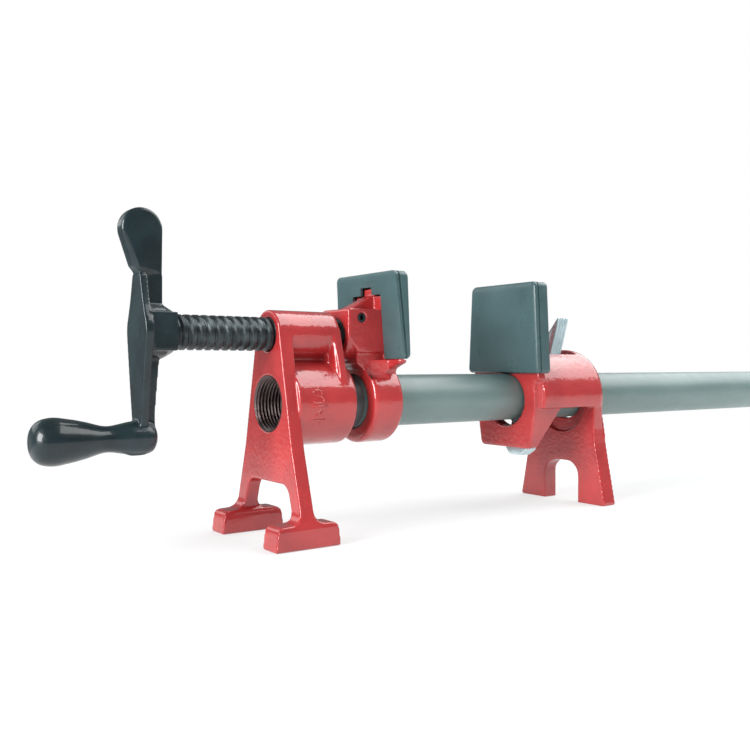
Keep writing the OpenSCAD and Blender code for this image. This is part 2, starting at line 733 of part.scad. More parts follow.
// A clutch plate, seen square to it, with its pivot line at y = 0
module plate_outline() difference() {
    notch_low = 3.4;
    notch_turn = 15.6;
    union() {
        translate([0, -hole_drop]) circle(r = plate_body_r);
        polygon(rounded(both_sides([
            [tab_half - 4, -tab_length, 1],
            [tab_half, -tab_length + 3.6, 1],
            [tab_half, -hole_drop, 0],
            [horn_half, -hole_drop, 0],
            [horn_half, horn_length - 5, 2],
            [horn_half - 0.3, horn_length, 0]])));
    }
    translate([0, -hole_drop]) circle(r = plate_hole_r);
    polygon(rounded(both_sides([
        [notch_half, notch_low, 2],
        [notch_half, notch_turn, 3],
        [horn_half - 0.9, horn_length + 0.02, 0],
        [horn_half - 0.9, horn_length + cut, 0]])));
}

module clutch_plate(i) placed() color(zinc)
    translate([pivot_x + (i - 1) * plate_pitch, 0, pivot_z]) rotate([0, plate_lean, 0])
        slab(0, plate_t) plate_outline();

// One ring of the spring's tube: its middle runs round the helix, and its sides face along and off the wire
function coil_middle(turn, ends, span) =
    let (flat = 0.75, run = max(0, min(1, (turn - flat) / (spring_turns - 2 * flat))))
    [spring_start + spring_wire / 2 + ends * (min(turn, flat) + max(0, turn - spring_turns + flat))
        + (span - 2 * ends * flat) * run,
        spring_r * sin(360 * turn), spring_z + spring_r * cos(360 * turn)];

module clutch_spring() placed() color(zinc) {
    sides = 6;
    per_turn = 8;
    rings = spring_turns * per_turn;
    end_pitch = spring_wire + 0.45;
    span = spring_end - spring_start - spring_wire;
    middles = [for (k = [0 : rings]) coil_middle(k / per_turn, end_pitch, span)];
    points = [for (k = [0 : rings])
        let (out = [0, sin(360 * k / per_turn), cos(360 * k / per_turn)])
        for (s = [0 : sides - 1])
            middles[k] + spring_wire / 2 * (cos(360 * s / sides) * out + sin(360 * s / sides) * [1, 0, 0])];
    walls = [for (k = [0 : rings - 1], s = [0 : sides - 1])
        let (n = (s + 1) % sides, a = k * sides)
        each [[a + s, a + sides + s, a + n], [a + n, a + sides + s, a + sides + n]]];
    first_cap = [for (s = [1 : sides - 2]) [0, s, s + 1]];
    last_cap = [for (s = [1 : sides - 2]) [rings * sides, rings * sides + s + 1, rings * sides + s]];
    self_gap = min([for (k = [0 : rings - per_turn + 2], m = [k + per_turn - 2 : min(rings, k + per_turn + 2)])
        norm(middles[k] - middles[m])]) - spring_wire;
    echo("least gap of the spring to itself, mm", self_gap);
    polyhedron(points, concat(walls, first_cap, last_cap));
}

pipe();
head_casting();
spindle();
crank_handle();
sliding_jaw();
jaw_pin();
jaw_pad();
tail_casting();
tail_pad();
clutch_plate(1);  // clutch_plate_1
clutch_plate(2);  // clutch_plate_2
clutch_plate(3);  // clutch_plate_3
clutch_plate(4);  // clutch_plate_4
clutch_spring();
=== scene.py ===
"""Dresses the woodworking pipe clamp: its castings, screw, pipe, pads, clutch and the white studio."""

import logging
import math
from collections.abc import Callable, Iterator
from contextlib import contextmanager
from dataclasses import dataclass
from enum import Enum
from typing import NamedTuple

import bpy
from mathutils import Matrix, Vector


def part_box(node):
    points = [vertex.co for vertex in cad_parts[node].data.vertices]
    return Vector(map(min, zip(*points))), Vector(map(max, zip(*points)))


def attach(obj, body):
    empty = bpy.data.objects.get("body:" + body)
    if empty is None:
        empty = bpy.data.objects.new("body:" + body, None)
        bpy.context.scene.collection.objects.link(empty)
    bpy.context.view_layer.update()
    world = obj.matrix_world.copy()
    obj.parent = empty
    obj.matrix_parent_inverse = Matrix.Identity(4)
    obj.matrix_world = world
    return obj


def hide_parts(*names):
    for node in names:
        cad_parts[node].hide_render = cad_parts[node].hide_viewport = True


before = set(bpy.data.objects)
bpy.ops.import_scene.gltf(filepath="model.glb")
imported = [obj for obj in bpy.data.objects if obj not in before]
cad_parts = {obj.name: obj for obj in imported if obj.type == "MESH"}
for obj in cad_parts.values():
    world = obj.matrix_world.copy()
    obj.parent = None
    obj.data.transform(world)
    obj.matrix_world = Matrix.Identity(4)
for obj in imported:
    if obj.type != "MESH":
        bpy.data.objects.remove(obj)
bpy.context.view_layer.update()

MM = 0.001
INCH_MM = 25.4
SIDES = (-1.0, 1.0)
LOG = logging.getLogger("pipe_clamp")

# Millimetres from the head's front face
PIPE_START = 18.5

Colour = tuple[float, float, float]

class Body(Enum):
    """The clamp's moving bodies, by the names of the frame."""

    FIXED = "root"
    JAW = "jaw"
    SCREW = "screw"
    TAIL = "tail"


@dataclass(frozen=True)
class Datum:
    """Places on the clamp that several pieces share, read from the frame.

    They are in metres, apart from spindle_rise, which is in millimetres.
    """

    head_face: float
    axis_height: float
    spindle_rise: float

    @classmethod
    def from_frame(cls) -> "Datum":
        """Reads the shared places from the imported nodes' boxes.

        Returns:
            Datum: the places in the row frame.
        """
        pipe_low, pipe_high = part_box("pipe")
        spindle_low, spindle_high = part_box("spindle")
        axis_height = (pipe_low.z + pipe_high.z) / 2
        return cls(
            head_face=pipe_low.x - PIPE_START * MM,
            axis_height=axis_height,
            spindle_rise=((spindle_low.z + spindle_high.z) / 2 - axis_height) / MM,
        )

    def at(self, along: float, across: float = 0.0, above: float = 0.0) -> Vector:
        """A place measured from the head's front face on the pipe's axis.

        Args:
            along: millimetres behind the head's front face.
            across: millimetres across the pipe.
            above: millimetres above the pipe's axis.

        Returns:
            Vector: the place in the row frame, in metres.
        """
        return Vector((self.head_face + along * MM, across * MM, self.axis_height + above * MM))


DATUM = Datum.from_frame()


# --------------------------------------------------------------------------------------------------
# Finishes


class Out(NamedTuple):
    """One output of a node, which the inputs of other nodes take."""

    node: bpy.types.Node
    socket: str | int


class NodeSheet:
    """A small helper that lays out the nodes of one material or world."""

    def __init__(self, owner: bpy.types.ID, output: str) -> None:
        """Clears the owner's nodes and adds its output.

        Args:
            owner: the material or world.
            output: the type of its output node.
        """
        owner.use_nodes = True
        self.tree = owner.node_tree
        self.tree.nodes.clear()
        self.output = self.add(output)

    def add(self, kind: str, entries: dict | None = None, **settings) -> bpy.types.Node:
        """Adds one node.

        Args:
            kind: its type, without the word ShaderNode.
            entries: its inputs by name or number, each a constant or another node's output.
            settings: its other values by name.

        Returns:
            bpy.types.Node: the node.
        """
        node = self.tree.nodes.new(f"ShaderNode{kind}")
        for name, value in settings.items():
            setattr(node, name, value)
        self.wire(node, entries or {})
        return node

    def wire(self, node: bpy.types.Node, entries: dict) -> None:
        """Sets a node's inputs.

        Args:
            node: the node.
            entries: its inputs by name or number, each a constant or another node's output.
        """
        for entry, value in entries.items():
            if isinstance(value, Out):
                self.tree.links.new(value.node.outputs[value.socket], node.inputs[entry])
            else:
                node.inputs[entry].default_value = value

    def spread(self, source: Out, reach: tuple[float, float], first: float = 0.0, last: float = 1.0) -> Out:
        """Maps the reach of one value to another one and holds it at its ends.

        Args:
            source: the value.
            reach: where it starts and ends.
            first: what it becomes at the start.
            last: what it becomes at the end.

        Returns:
            Out: the mapped value.
        """
        node = self.add("MapRange", {"Value": source, "From Min": reach[0], "From Max": reach[1],
                                     "To Min": first, "To Max": last})
        return Out(node, "Result")

    def figure(self, operation: str, first: Out, second: Out) -> Out:
        """Works out one value from two others.

        Args:
            operation: the Math node's operation.
            first: its first value.
            second: its second value.

        Returns:
            Out: the result.
        """
        return Out(self.add("Math", {0: first, 1: second}, operation=operation), "Value")


class ShaderSheet(NodeSheet):
    """The nodes of one finish: a principled surface and patterns on object coordinates."""

    # The Mix node's inputs and its output, by number, when it mixes colours
    MIX_SHARE, MIX_FIRST, MIX_SECOND, MIX_RESULT = 0, 6, 7, 2

    def __init__(self, name: str) -> None:
        """Starts a material with one principled surface.

        Args:
            name: the material's name.
        """
        self.material = bpy.data.materials.new(name)
        super().__init__(self.material, "OutputMaterial")
        self.surface = self.add("BsdfPrincipled")
        self.wire(self.output, {"Surface": Out(self.surface, "BSDF")})
        self.object_space = Out(self.add("TexCoord"), "Object")

    def set(self, **values) -> None:
        """Sets constants on the principled surface.

        Args:
            values: the constants by socket name, with underscores for its spaces.
        """
        self.wire(self.surface, {name.replace("_", " "): value for name, value in values.items()})

    def feed(self, source: Out, entry: str) -> None:
        """Joins a pattern to the principled surface.

        Args:
            source: the pattern.
            entry: the surface's input.
        """
        self.wire(self.surface, {entry: source})

    def noise(self, scale: float, detail: float = 3.0, roughness: float = 0.5,
              stretch: tuple[float, float, float] | None = None) -> Out:
        """A noise pattern on object coordinates.

        Args:
            scale: features per metre.
            detail: number of octaves.
            roughness: weight of the finer octaves.
            stretch: scale along each axis, or None.

        Returns:
            Out: the pattern.
        """
        space = self.object_space
        if stretch:
            space = Out(self.add("Mapping", {"Scale": stretch, "Vector": space}), "Vector")
        node = self.add("TexNoise", {"Scale": scale, "Detail": detail, "Roughness": roughness,
                                     "Vector": space})
        return Out(node, "Fac")

    def cells(self, scale: float) -> Out:
        """A cell pattern's distance on object coordinates, for pits and grains.

        Args:
            scale: cells per metre.

        Returns:
            Out: the pattern.
        """
        return Out(self.add("TexVoronoi", {"Scale": scale, "Vector": self.object_space}), "Distance")

    def ramp(self, source: Out, low: float, high: float, low_value: float | Colour,
             high_value: float | Colour) -> Out:
        """Maps a value through a two-stop colour ramp.

        Args:
            source: the value.
            low: where the first stop is.
            high: where the second stop is.
            low_value: grey level or colour at the first stop.
            high_value: grey level or colour at the second stop.

        Returns:
            Out: the grey level or colour.
        """
        node = self.add("ValToRGB", {"Fac": source})
        for stop, place, value in zip(node.color_ramp.elements, (low, high), (low_value, high_value)):
            stop.position = place
            stop.color = (value,) * 3 + (1.0,) if isinstance(value, float) else (*value, 1.0)
        return Out(node, "Color")

    def past(self, along: float, blend: float, before: Colour, after: Out) -> Out:
        """A colour up to a place along the pipe, and another one past it.

        Args:
            along: the place along the pipe, in metres.
            blend: the length of the change, in metres.
            before: the colour before the place.
            after: the colour past it.

        Returns:
            Out: the colour.
        """
        place = Out(self.add("SeparateXYZ", {"Vector": self.object_space}), "X")
        share = self.spread(place, (along - blend / 2, along + blend / 2))
        node = self.add("Mix", data_type="RGBA", entries={
            self.MIX_SHARE: share, self.MIX_FIRST: (*before, 1.0), self.MIX_SECOND: after})
        return Out(node, self.MIX_RESULT)

    def bump(self, source: Out, height: float, strength: float = 1.0, below: Out | None = None) -> Out:
        """A bump of a stated height, on top of another one.

        Args:
            source: the height pattern.
            height: the height of the pattern, in metres.
            strength: how much of it shows.
            below: the bump under this one, or None.

        Returns:
            Out: the bump.
        """
        node = self.add("Bump", {"Distance": height, "Strength": strength, "Height": source})
        if below:
            self.wire(node, {"Normal": below})
        return Out(node, "Normal")


@dataclass(frozen=True)
class PowderCoat:
    """Gloss powder coat on a sand casting: pooled colour, orange peel and the sand's grain under it."""

    name: str = "red_powder_coat"
    deep: Colour = (0.375, 0.020, 0.022)
    bright: Colour = (0.485, 0.030, 0.031)
    roughness: float = 0.45
    peel_height: float = 0.26 * MM
    grain_height: float = 0.16 * MM
    pool_scale: float = 55.0
    gloss_scale: float = 140.0
    peel_scale: float = 420.0
    grain_scale: float = 620.0

    def material(self) -> bpy.types.Material:
        """Builds the finish.

        Returns:
            bpy.types.Material: the new material.
        """
        sheet = ShaderSheet(self.name)
        sheet.set(Metallic=0.0, Specular_IOR_Level=0.2)
        sheet.set(Coat_Weight=1.0, Coat_IOR=1.65, Coat_Roughness=0.07)
        pools = sheet.noise(self.pool_scale, 4.0)
        sheet.feed(sheet.ramp(pools, 0.35, 0.65, self.deep, self.bright), "Base Color")
        gloss = sheet.noise(self.gloss_scale, 3.0)
        rough = sheet.ramp(gloss, 0.3, 0.75, self.roughness - 0.06, self.roughness + 0.12)
        sheet.feed(rough, "Roughness")
        peel = sheet.bump(sheet.noise(self.peel_scale, 3.0, 0.55), self.peel_height, 0.6)
        specks = sheet.ramp(sheet.cells(self.grain_scale), 0.0, 0.16, 1.0, 0.0)
        grain = sheet.bump(specks, self.grain_height, 0.5, peel)
        sheet.feed(grain, "Normal")
        sheet.feed(grain, "Coat Normal")
        return sheet.material


@dataclass(frozen=True)
class BlackCasting:
    """Gloss black paint on the crank's casting."""

    name: str = "black_gloss_paint"
    colour: Colour = (0.006, 0.014, 0.017)
    lift: float = 1.9
    roughness: float = 0.30
    peel_height: float = 0.16 * MM
    pit_height: float = 0.06 * MM
    tone_scale: float = 70.0
    gloss_scale: float = 160.0
    peel_scale: float = 380.0
    pit_scale: float = 800.0

    def material(self) -> bpy.types.Material:
        """Builds the finish.

        Returns:
            bpy.types.Material: the new material.
        """
        sheet = ShaderSheet(self.name)
        sheet.set(Metallic=0.0, Coat_Weight=0.55, Coat_Roughness=0.10, Specular_IOR_Level=0.3)
        lighter = tuple(self.lift * part for part in self.colour)
        tone = sheet.noise(self.tone_scale, 3.0)
        sheet.feed(sheet.ramp(tone, 0.4, 0.7, self.colour, lighter), "Base Color")
        gloss = sheet.noise(self.gloss_scale, 3.0)
        sheet.feed(sheet.ramp(gloss, 0.3, 0.8, self.roughness, self.roughness + 0.14), "Roughness")
        peel = sheet.bump(sheet.noise(self.peel_scale, 2.0), self.peel_height, 0.5)
        sheet.feed(sheet.bump(sheet.cells(self.pit_scale), self.pit_height, 0.3, peel), "Normal")
        return sheet.material


@dataclass(frozen=True)
class BlackOxide:
    """Oiled black oxide on rolled steel, with lighter rubbed patches scattered at random."""

    name: str = "black_oxide_steel"
    colour: Colour = (0.030, 0.040, 0.043)
    rubbed: Colour = (0.080, 0.100, 0.105)
    roughness: float = 0.36
    grain_height: float = 0.04 * MM
    tone_scale: float = 220.0
    gloss_scale: float = 300.0
    grain_scale: float = 1500.0

    def material(self) -> bpy.types.Material:
        """Builds the finish.

        Returns:
            bpy.types.Material: the new material.
        """
        sheet = ShaderSheet(self.name)
        sheet.set(Metallic=0.55)
        tone = sheet.noise(self.tone_scale, 4.0)
        sheet.feed(sheet.ramp(tone, 0.45, 0.75, self.colour, self.rubbed), "Base Color")
        gloss = sheet.noise(self.gloss_scale, 3.0)
        rough = sheet.ramp(gloss, 0.3, 0.8, self.roughness - 0.08, self.roughness + 0.14)
        sheet.feed(rough, "Roughness")
        sheet.feed(sheet.bump(sheet.noise(self.grain_scale, 3.0), self.grain_height, 0.4), "Normal")
        return sheet.material


@dataclass(frozen=True)
class PipePaint:
    """Satin grey paint on drawn pipe with fine marks along it, and a dark painted shade on its near end,
    where the head and the jaw shade it.
    """

    name: str = "grey_pipe_paint"
    colour: Colour = (0.125, 0.195, 0.186)
    pale: Colour = (0.160, 0.238, 0.228)
    # Painted shade: a dark band on the pipe's near end, up to 47.5 mm behind the head's front face, where
    # the head and the jaw shade the pipe
    painted_gap_shade: Colour = (0.035, 0.052, 0.055)
    gap_shade_end: float = DATUM.at(47.5).x
    gap_shade_blend: float = 1.2 * MM
    roughness: float = 0.40
    drawn_height: float = 0.05 * MM
    grain_height: float = 0.02 * MM
    tone_scale: float = 60.0
    rub_scale: float = 900.0
    drawn_scale: float = 700.0
    grain_scale: float = 1800.0

    def material(self) -> bpy.types.Material:
        """Builds the finish.

        Returns:
            bpy.types.Material: the new material.
        """
        sheet = ShaderSheet(self.name)
        sheet.set(Metallic=0.0, Specular_IOR_Level=0.8)
        tone = sheet.noise(self.tone_scale, 4.0, 0.6, (0.3, 1.0, 1.0))
        painted = sheet.ramp(tone, 0.35, 0.7, self.colour, self.pale)
        # The near end of the pipe takes the painted shade, and the rest takes the paint's own tone
        sheet.feed(sheet.past(self.gap_shade_end, self.gap_shade_blend, self.painted_gap_shade, painted), "Base Color")
        rubbed = sheet.noise(self.rub_scale, 2.0, 0.6, (1.0, 0.05, 0.05))
        rough = sheet.ramp(rubbed, 0.35, 0.75, self.roughness + 0.06, self.roughness - 0.06)
        sheet.feed(rough, "Roughness")
        lines = sheet.noise(self.drawn_scale, 2.0, 0.5, (0.04, 1.0, 1.0))
        drawn = sheet.bump(lines, self.drawn_height, 0.35)
        grain = sheet.noise(self.grain_scale, 2.0)
        sheet.feed(sheet.bump(grain, self.grain_height, 0.4, drawn), "Normal")
        return sheet.material


@dataclass(frozen=True)
class PadPlastic:
    """Moulded satin plastic with a faint cloudy tone."""

    name: str = "slate_pad_plastic"
    colour: Colour = (0.048, 0.092, 0.098)
    cloudy: Colour = (0.064, 0.118, 0.125)
    roughness: float = 0.30
    grain_height: float = 0.015 * MM
    tone_scale: float = 38.0
    gloss_scale: float = 90.0
    grain_scale: float = 2600.0

    def material(self) -> bpy.types.Material:
        """Builds the finish.

        Returns:
            bpy.types.Material: the new material.
        """
        sheet = ShaderSheet(self.name)
        sheet.set(Metallic=0.0, Specular_IOR_Level=0.5)
        tone = sheet.noise(self.tone_scale, 3.0)
        sheet.feed(sheet.ramp(tone, 0.35, 0.7, self.colour, self.cloudy), "Base Color")
        gloss = sheet.noise(self.gloss_scale, 3.0)
        rough = sheet.ramp(gloss, 0.3, 0.7, self.roughness - 0.05, self.roughness + 0.08)
        sheet.feed(rough, "Roughness")
        sheet.feed(sheet.bump(sheet.noise(self.grain_scale, 2.0), self.grain_height, 0.35), "Normal")
        return sheet.material


@dataclass(frozen=True)
class BrightSteel:
    """Bare or plated steel with fine marks one way."""

    name: str
    colour: Colour
    shade: Colour
    roughness: float = 0.28
    grain: tuple[float, float, float] = (1.0, 1.0, 0.06)
    metal: float = 0.9
    marks: float = 0.02 * MM
    tone_scale: float = 160.0
    marks_scale: float = 1600.0

    def material(self) -> bpy.types.Material:
        """Builds the finish.

        Returns:
            bpy.types.Material: the new material.
        """
        sheet = ShaderSheet(self.name)
        sheet.set(Metallic=self.metal)
        tone = sheet.noise(self.tone_scale, 3.0)
        sheet.feed(sheet.ramp(tone, 0.3, 0.7, self.shade, self.colour), "Base Color")
        marks = sheet.noise(self.marks_scale, 3.0, 0.6, self.grain)
        rough = sheet.ramp(marks, 0.3, 0.75, self.roughness - 0.06, self.roughness + 0.16)
        sheet.feed(rough, "Roughness")
        sheet.feed(sheet.bump(marks, self.marks, 0.4), "Normal")
        return sheet.material


class Finishes:
    """Every finish on the clamp, built once."""

    def __init__(self) -> None:
        """Builds the finishes."""
        self.red = PowderCoat().material()
        self.black = BlackCasting().material()
        self.oxide = BlackOxide().material()
        self.pipe = PipePaint().material()
        self.pad = PadPlastic().material()
        self.zinc = BrightSteel("zinc_plate", (0.70, 0.86, 0.90), (0.60, 0.76, 0.80), roughness=0.30,
                                grain=(0.2, 0.2, 0.1), metal=0.5, marks=0.002 * MM).material()
        self.raw = BrightSteel("cut_thread_steel", (0.20, 0.15, 0.145), (0.06, 0.04, 0.042),
                               roughness=0.36, grain=(0.1, 1.0, 1.0)).material()
        self.spring = BrightSteel("spring_wire_steel", (0.55, 0.58, 0.60), (0.30, 0.32, 0.34)).material()


# --------------------------------------------------------------------------------------------------
# Mesh work


class Operation(Enum):
    """What a boolean tool does to a piece."""

    ADD = "UNION"
    CUT = "DIFFERENCE"
    COMMON = "INTERSECT"


class Bench:
    """Mesh work as by hand: copies of solids, casting skins, booleans, bevels and threads."""

    MERGE = 0.002 * MM
    FINE_MERGE = 0.0005 * MM
    RELAX = 0.5
    EDGE_ANGLE = 40.0
    ROD_SIDES = 64
    BEAD_ROUND = 3

    @staticmethod
    def clear() -> None:
        """Leaves edit mode and deselects everything."""
        if bpy.context.object and bpy.context.object.mode != "OBJECT":
            bpy.ops.object.mode_set(mode="OBJECT")
        bpy.ops.object.select_all(action="DESELECT")

    @classmethod
    def pick(cls, piece: bpy.types.Object) -> None:
        """Selects one object alone and makes it active.

        Args:
            piece: the object.
        """
        cls.clear()
        piece.select_set(True)
        bpy.context.view_layer.objects.active = piece

    @classmethod
    @contextmanager
    def editing(cls, piece: bpy.types.Object, action: str | None = "SELECT") -> Iterator[None]:
        """Opens a piece in edit mode, and leaves edit mode at the end.

        Args:
            piece: the object.
            action: SELECT or DESELECT for all of it, or None to keep what is selected.
        """
        cls.pick(piece)
        bpy.ops.object.mode_set(mode="EDIT")
        if action:
            bpy.ops.mesh.select_all(action=action)
        yield
        bpy.ops.object.mode_set(mode="OBJECT")

    @classmethod
    def copy_of(cls, node: str, name: str) -> bpy.types.Object:
        """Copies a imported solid's surface into a new piece and merges its loose triangles.

        Args:
            node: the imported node.
            name: the new piece's name.

        Returns:
            bpy.types.Object: the new piece.
        """
        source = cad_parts[node]
        piece = bpy.data.objects.new(name, source.data.copy())
        bpy.context.scene.collection.objects.link(piece)
        piece.data.materials.clear()
        with cls.editing(piece):
            bpy.ops.mesh.remove_doubles(threshold=cls.MERGE)
        return piece

    @classmethod
    def apply(cls, piece: bpy.types.Object, kind: str, **settings) -> None:
        """Adds one modifier and applies it.

        Args:
            piece: the object.
            kind: the modifier's type.
            settings: its values by name.
        """
        cls.pick(piece)
        modifier = piece.modifiers.new(kind.lower(), kind)
        for name, value in settings.items():
            setattr(modifier, name, value)
        bpy.ops.object.modifier_apply(modifier=modifier.name)

    @classmethod
    def shade(cls, piece: bpy.types.Object, angle: float | None = None) -> None:
        """Shades a piece smooth.

        Args:
            piece: the object.
            angle: edges sharper than this many degrees stay sharp, or None for none.
        """
        cls.pick(piece)
        if angle is None:
            bpy.ops.object.shade_smooth()
        else:
            bpy.ops.object.shade_smooth_by_angle(angle=math.radians(angle))

    @classmethod
    def cast_skin(cls, piece: bpy.types.Object, grain: float, rounds: int) -> None:
        """Gives a solid the soft edges and filled corners of a casting.

        Args:
            piece: the closed object.
            grain: the size of the new faces, in millimetres.
            rounds: how often the surface is relaxed.
        """
        cls.apply(piece, "REMESH", mode="VOXEL", voxel_size=grain * MM, adaptivity=0.0)
        cls.apply(piece, "SMOOTH", factor=cls.RELAX, iterations=rounds)
        cls.shade(piece)

    @classmethod
    def ease_edges(cls, piece: bpy.types.Object, width: float, segments: int) -> None:
        """Bevels the sharp edges and shades the rest smooth.

        Args:
            piece: the object.
            width: the bevel's width, in millimetres.
            segments: faces across the bevel.
        """
        cls.apply(piece, "BEVEL", width=width * MM, segments=segments, limit_method="ANGLE",
                  angle_limit=math.radians(cls.EDGE_ANGLE), use_clamp_overlap=True, harden_normals=False)
        cls.shade(piece, cls.EDGE_ANGLE)

    @staticmethod
    def placed(name: str) -> bpy.types.Object:
        """Names the new primitive and moves its place into its mesh.

        Args:
            name: the object's name.

        Returns:
            bpy.types.Object: the primitive.
        """
        piece = bpy.context.object
        piece.name = name
        bpy.ops.object.transform_apply(location=True, rotation=True, scale=True)
        return piece

    @classmethod
    def rod(cls, name: str, start: Vector, length: float, radius: float) -> bpy.types.Object:
        """Adds a cylinder along the pipe.

        Args:
            name: the object's name.
            start: the middle of its near end.
            length: its length, in millimetres.
            radius: its radius, in millimetres.

        Returns:
            bpy.types.Object: the cylinder.
        """
        cls.clear()
        middle = start + Vector((length * MM / 2, 0, 0))
        bpy.ops.mesh.primitive_cylinder_add(vertices=cls.ROD_SIDES, radius=radius * MM, depth=length * MM,
                                            location=middle, rotation=(0, math.pi / 2, 0))
        return cls.placed(name)

    @classmethod
    def block(cls, name: str, start: Vector, size: tuple[float, float, float]) -> bpy.types.Object:
        """Adds a block.

        Args:
            name: the object's name.
            start: the middle of its near end.
            size: its length, width and height, in millimetres.

        Returns:
            bpy.types.Object: the block.
        """
        cls.clear()
        bpy.ops.mesh.primitive_cube_add(size=1.0, location=start + Vector((size[0] / 2 * MM, 0, 0)))
        bpy.context.object.scale = [side * MM for side in size]
        return cls.placed(name)

    @classmethod
    def chain(cls, name: str, points: list[Vector]) -> bpy.types.Object:
        """Extrudes one vertex from point to point into a chain of edges.

        Args:
            name: the object's name.
            points: the chain's points.

        Returns:
            bpy.types.Object: the chain.
        """
        cls.clear()
        bpy.ops.mesh.primitive_plane_add(size=MM, location=points[0])
        piece = cls.placed(name)
        with cls.editing(piece):
            bpy.ops.mesh.merge(type="CENTER")
            for before, after in zip(points, points[1:]):
                bpy.ops.mesh.extrude_region_move(TRANSFORM_OT_translate={"value": after - before})
        return piece

    @classmethod
    def prism(cls, name: str, outline: list[Vector], way: Vector) -> bpy.types.Object:
        """Fills an outline and extrudes it.

        Args:
            name: the object's name.
            outline: the outline's corners.
            way: how far it is extruded, and which way.

        Returns:
            bpy.types.Object: the closed prism.
        """
        piece = cls.chain(name, outline)
        with cls.editing(piece):
            bpy.ops.mesh.edge_face_add()
            bpy.ops.mesh.extrude_region_move(TRANSFORM_OT_translate={"value": way})
            bpy.ops.mesh.select_all(action="SELECT")
            bpy.ops.mesh.normals_make_consistent(inside=False)
        return piece

    @classmethod
    def boolean(cls, piece: bpy.types.Object, tool: bpy.types.Object, operation: Operation) -> None:
        """Adds or cuts a tool, and removes the tool.

        Args:
            piece: the object that is changed.
            tool: the closed tool.
            operation: what the tool does.
        """
        cls.apply(piece, "BOOLEAN", operation=operation.value, object=tool, solver="EXACT")
        bpy.data.objects.remove(tool, do_unlink=True)

    @classmethod
    def bore(cls, piece: bpy.types.Object, start: float, length: float,
             holes: tuple[tuple[float, float], ...]) -> None:
        """Cuts round holes along the pipe.

        Args:
            piece: the object.
            start: where the holes begin, in millimetres behind the head's front face.
            length: how long they are, in millimetres.
            holes: each hole's radius and its height over the pipe's axis, in millimetres.
        """
        for radius, above in holes:
            tool = cls.rod("bore", DATUM.at(start, 0.0, above), length, radius)
            cls.boolean(piece, tool, Operation.CUT)

    @classmethod
    def join(cls, pieces: list[bpy.types.Object], name: str) -> bpy.types.Object:
        """Joins several objects into the first one.

        Args:
            pieces: the objects.
            name: the joined object's name.

        Returns:
            bpy.types.Object: the joined object.
        """
        cls.clear()
        for piece in pieces:
            piece.select_set(True)
        bpy.context.view_layer.objects.active = pieces[0]
        bpy.ops.object.join()
        pieces[0].name = name
        return pieces[0]

    @classmethod
    def spun(cls, name: str, start: Vector, profile: list[tuple[float, float]], pitch: float = 0.0,
             turns: int = 1, steps: int = 48, twist: float = 0.0) -> bpy.types.Object:
        """Turns a profile round an axis along the pipe, or screws it into a threaded rod.

        Args:
            name: the object's name.
            start: the beginning of the profile on the axis.
            profile: (distance along the axis, radius) points in millimetres. A turned solid's profile is
                closed or starts and ends on the axis, and a tooth ends one pitch after its first point.
            pitch: the distance from turn to turn, in millimetres, or 0 for a turned solid.
            turns: how many turns a thread has.
            steps: faces round one turn.
            twist: degrees by which the finished solid is turned round its axis.

        Returns:
            bpy.types.Object: the closed solid.
        """
        piece = cls.chain(name, [Vector((along * MM, 0.0, radius * MM)) for along, radius in profile])
        cls.apply(piece, "SCREW", axis="X", angle=2 * math.pi, screw_offset=pitch * MM, iterations=turns,
                  steps=steps, render_steps=steps, use_merge_vertices=True, merge_threshold=cls.FINE_MERGE)
        with cls.editing(piece):
            bpy.ops.mesh.remove_doubles(threshold=cls.FINE_MERGE)
        if pitch:
            middle = (turns + 1) * pitch * MM / 2
            cls.close_end(piece, lambda vertex: vertex.co.x < middle)
            cls.close_end(piece, lambda vertex: vertex.co.x > middle)
        with cls.editing(piece):
            bpy.ops.mesh.normals_make_consistent(inside=False)
        piece.data.transform(Matrix.Translation(start) @ Matrix.Rotation(math.radians(twist), 4, "X"))
        return piece

    @classmethod
    def thread(cls, name: str, start: Vector, tooth: tuple[tuple[float, float], ...], pitch: float,
               turns: int, steps: int, twist: float = 0.0) -> bpy.types.Object:
        """Screws one tooth into a threaded rod.

        Args:
            name: the object's name.
            start: the beginning of the tooth on the axis.
            tooth: its (share of the pitch, radius in millimetres) points, from share 0 to share 1.
            pitch: the distance from turn to turn, in millimetres.
            turns: how many turns the thread has.
            steps: faces round one turn.
            twist: degrees by which the rod is turned round its axis.

        Returns:
            bpy.types.Object: the closed rod.
        """
        profile = [(share * pitch, radius) for share, radius in tooth]
        return cls.spun(name, start, profile, pitch, turns, steps, twist)

    @classmethod
    def close_end(cls, piece: bpy.types.Object, chosen: Callable[[bpy.types.MeshVertex], bool]) -> None:
        """Closes one open end with a fan of faces to its middle.

        Args:
            piece: the object.
            chosen: a test of one vertex of the open ends.
        """
        with cls.editing(piece, "DESELECT"):
            bpy.ops.mesh.select_mode(type="VERT")
            bpy.ops.mesh.select_non_manifold(extend=False, use_boundary=True, use_wire=False,
                                             use_multi_face=False, use_non_contiguous=False,
                                             use_verts=False)
        kept = {vertex.index for vertex in piece.data.vertices if vertex.select and chosen(vertex)}
        for vertex in piece.data.vertices:
            vertex.select = vertex.index in kept
        for edge in piece.data.edges:
            edge.select = edge.select and edge.vertices[0] in kept and edge.vertices[1] in kept
        with cls.editing(piece, None):
            bpy.ops.mesh.extrude_edges_move(TRANSFORM_OT_translate={"value": (0.0, 0.0, 0.0)})
            bpy.ops.mesh.merge(type="CENTER")

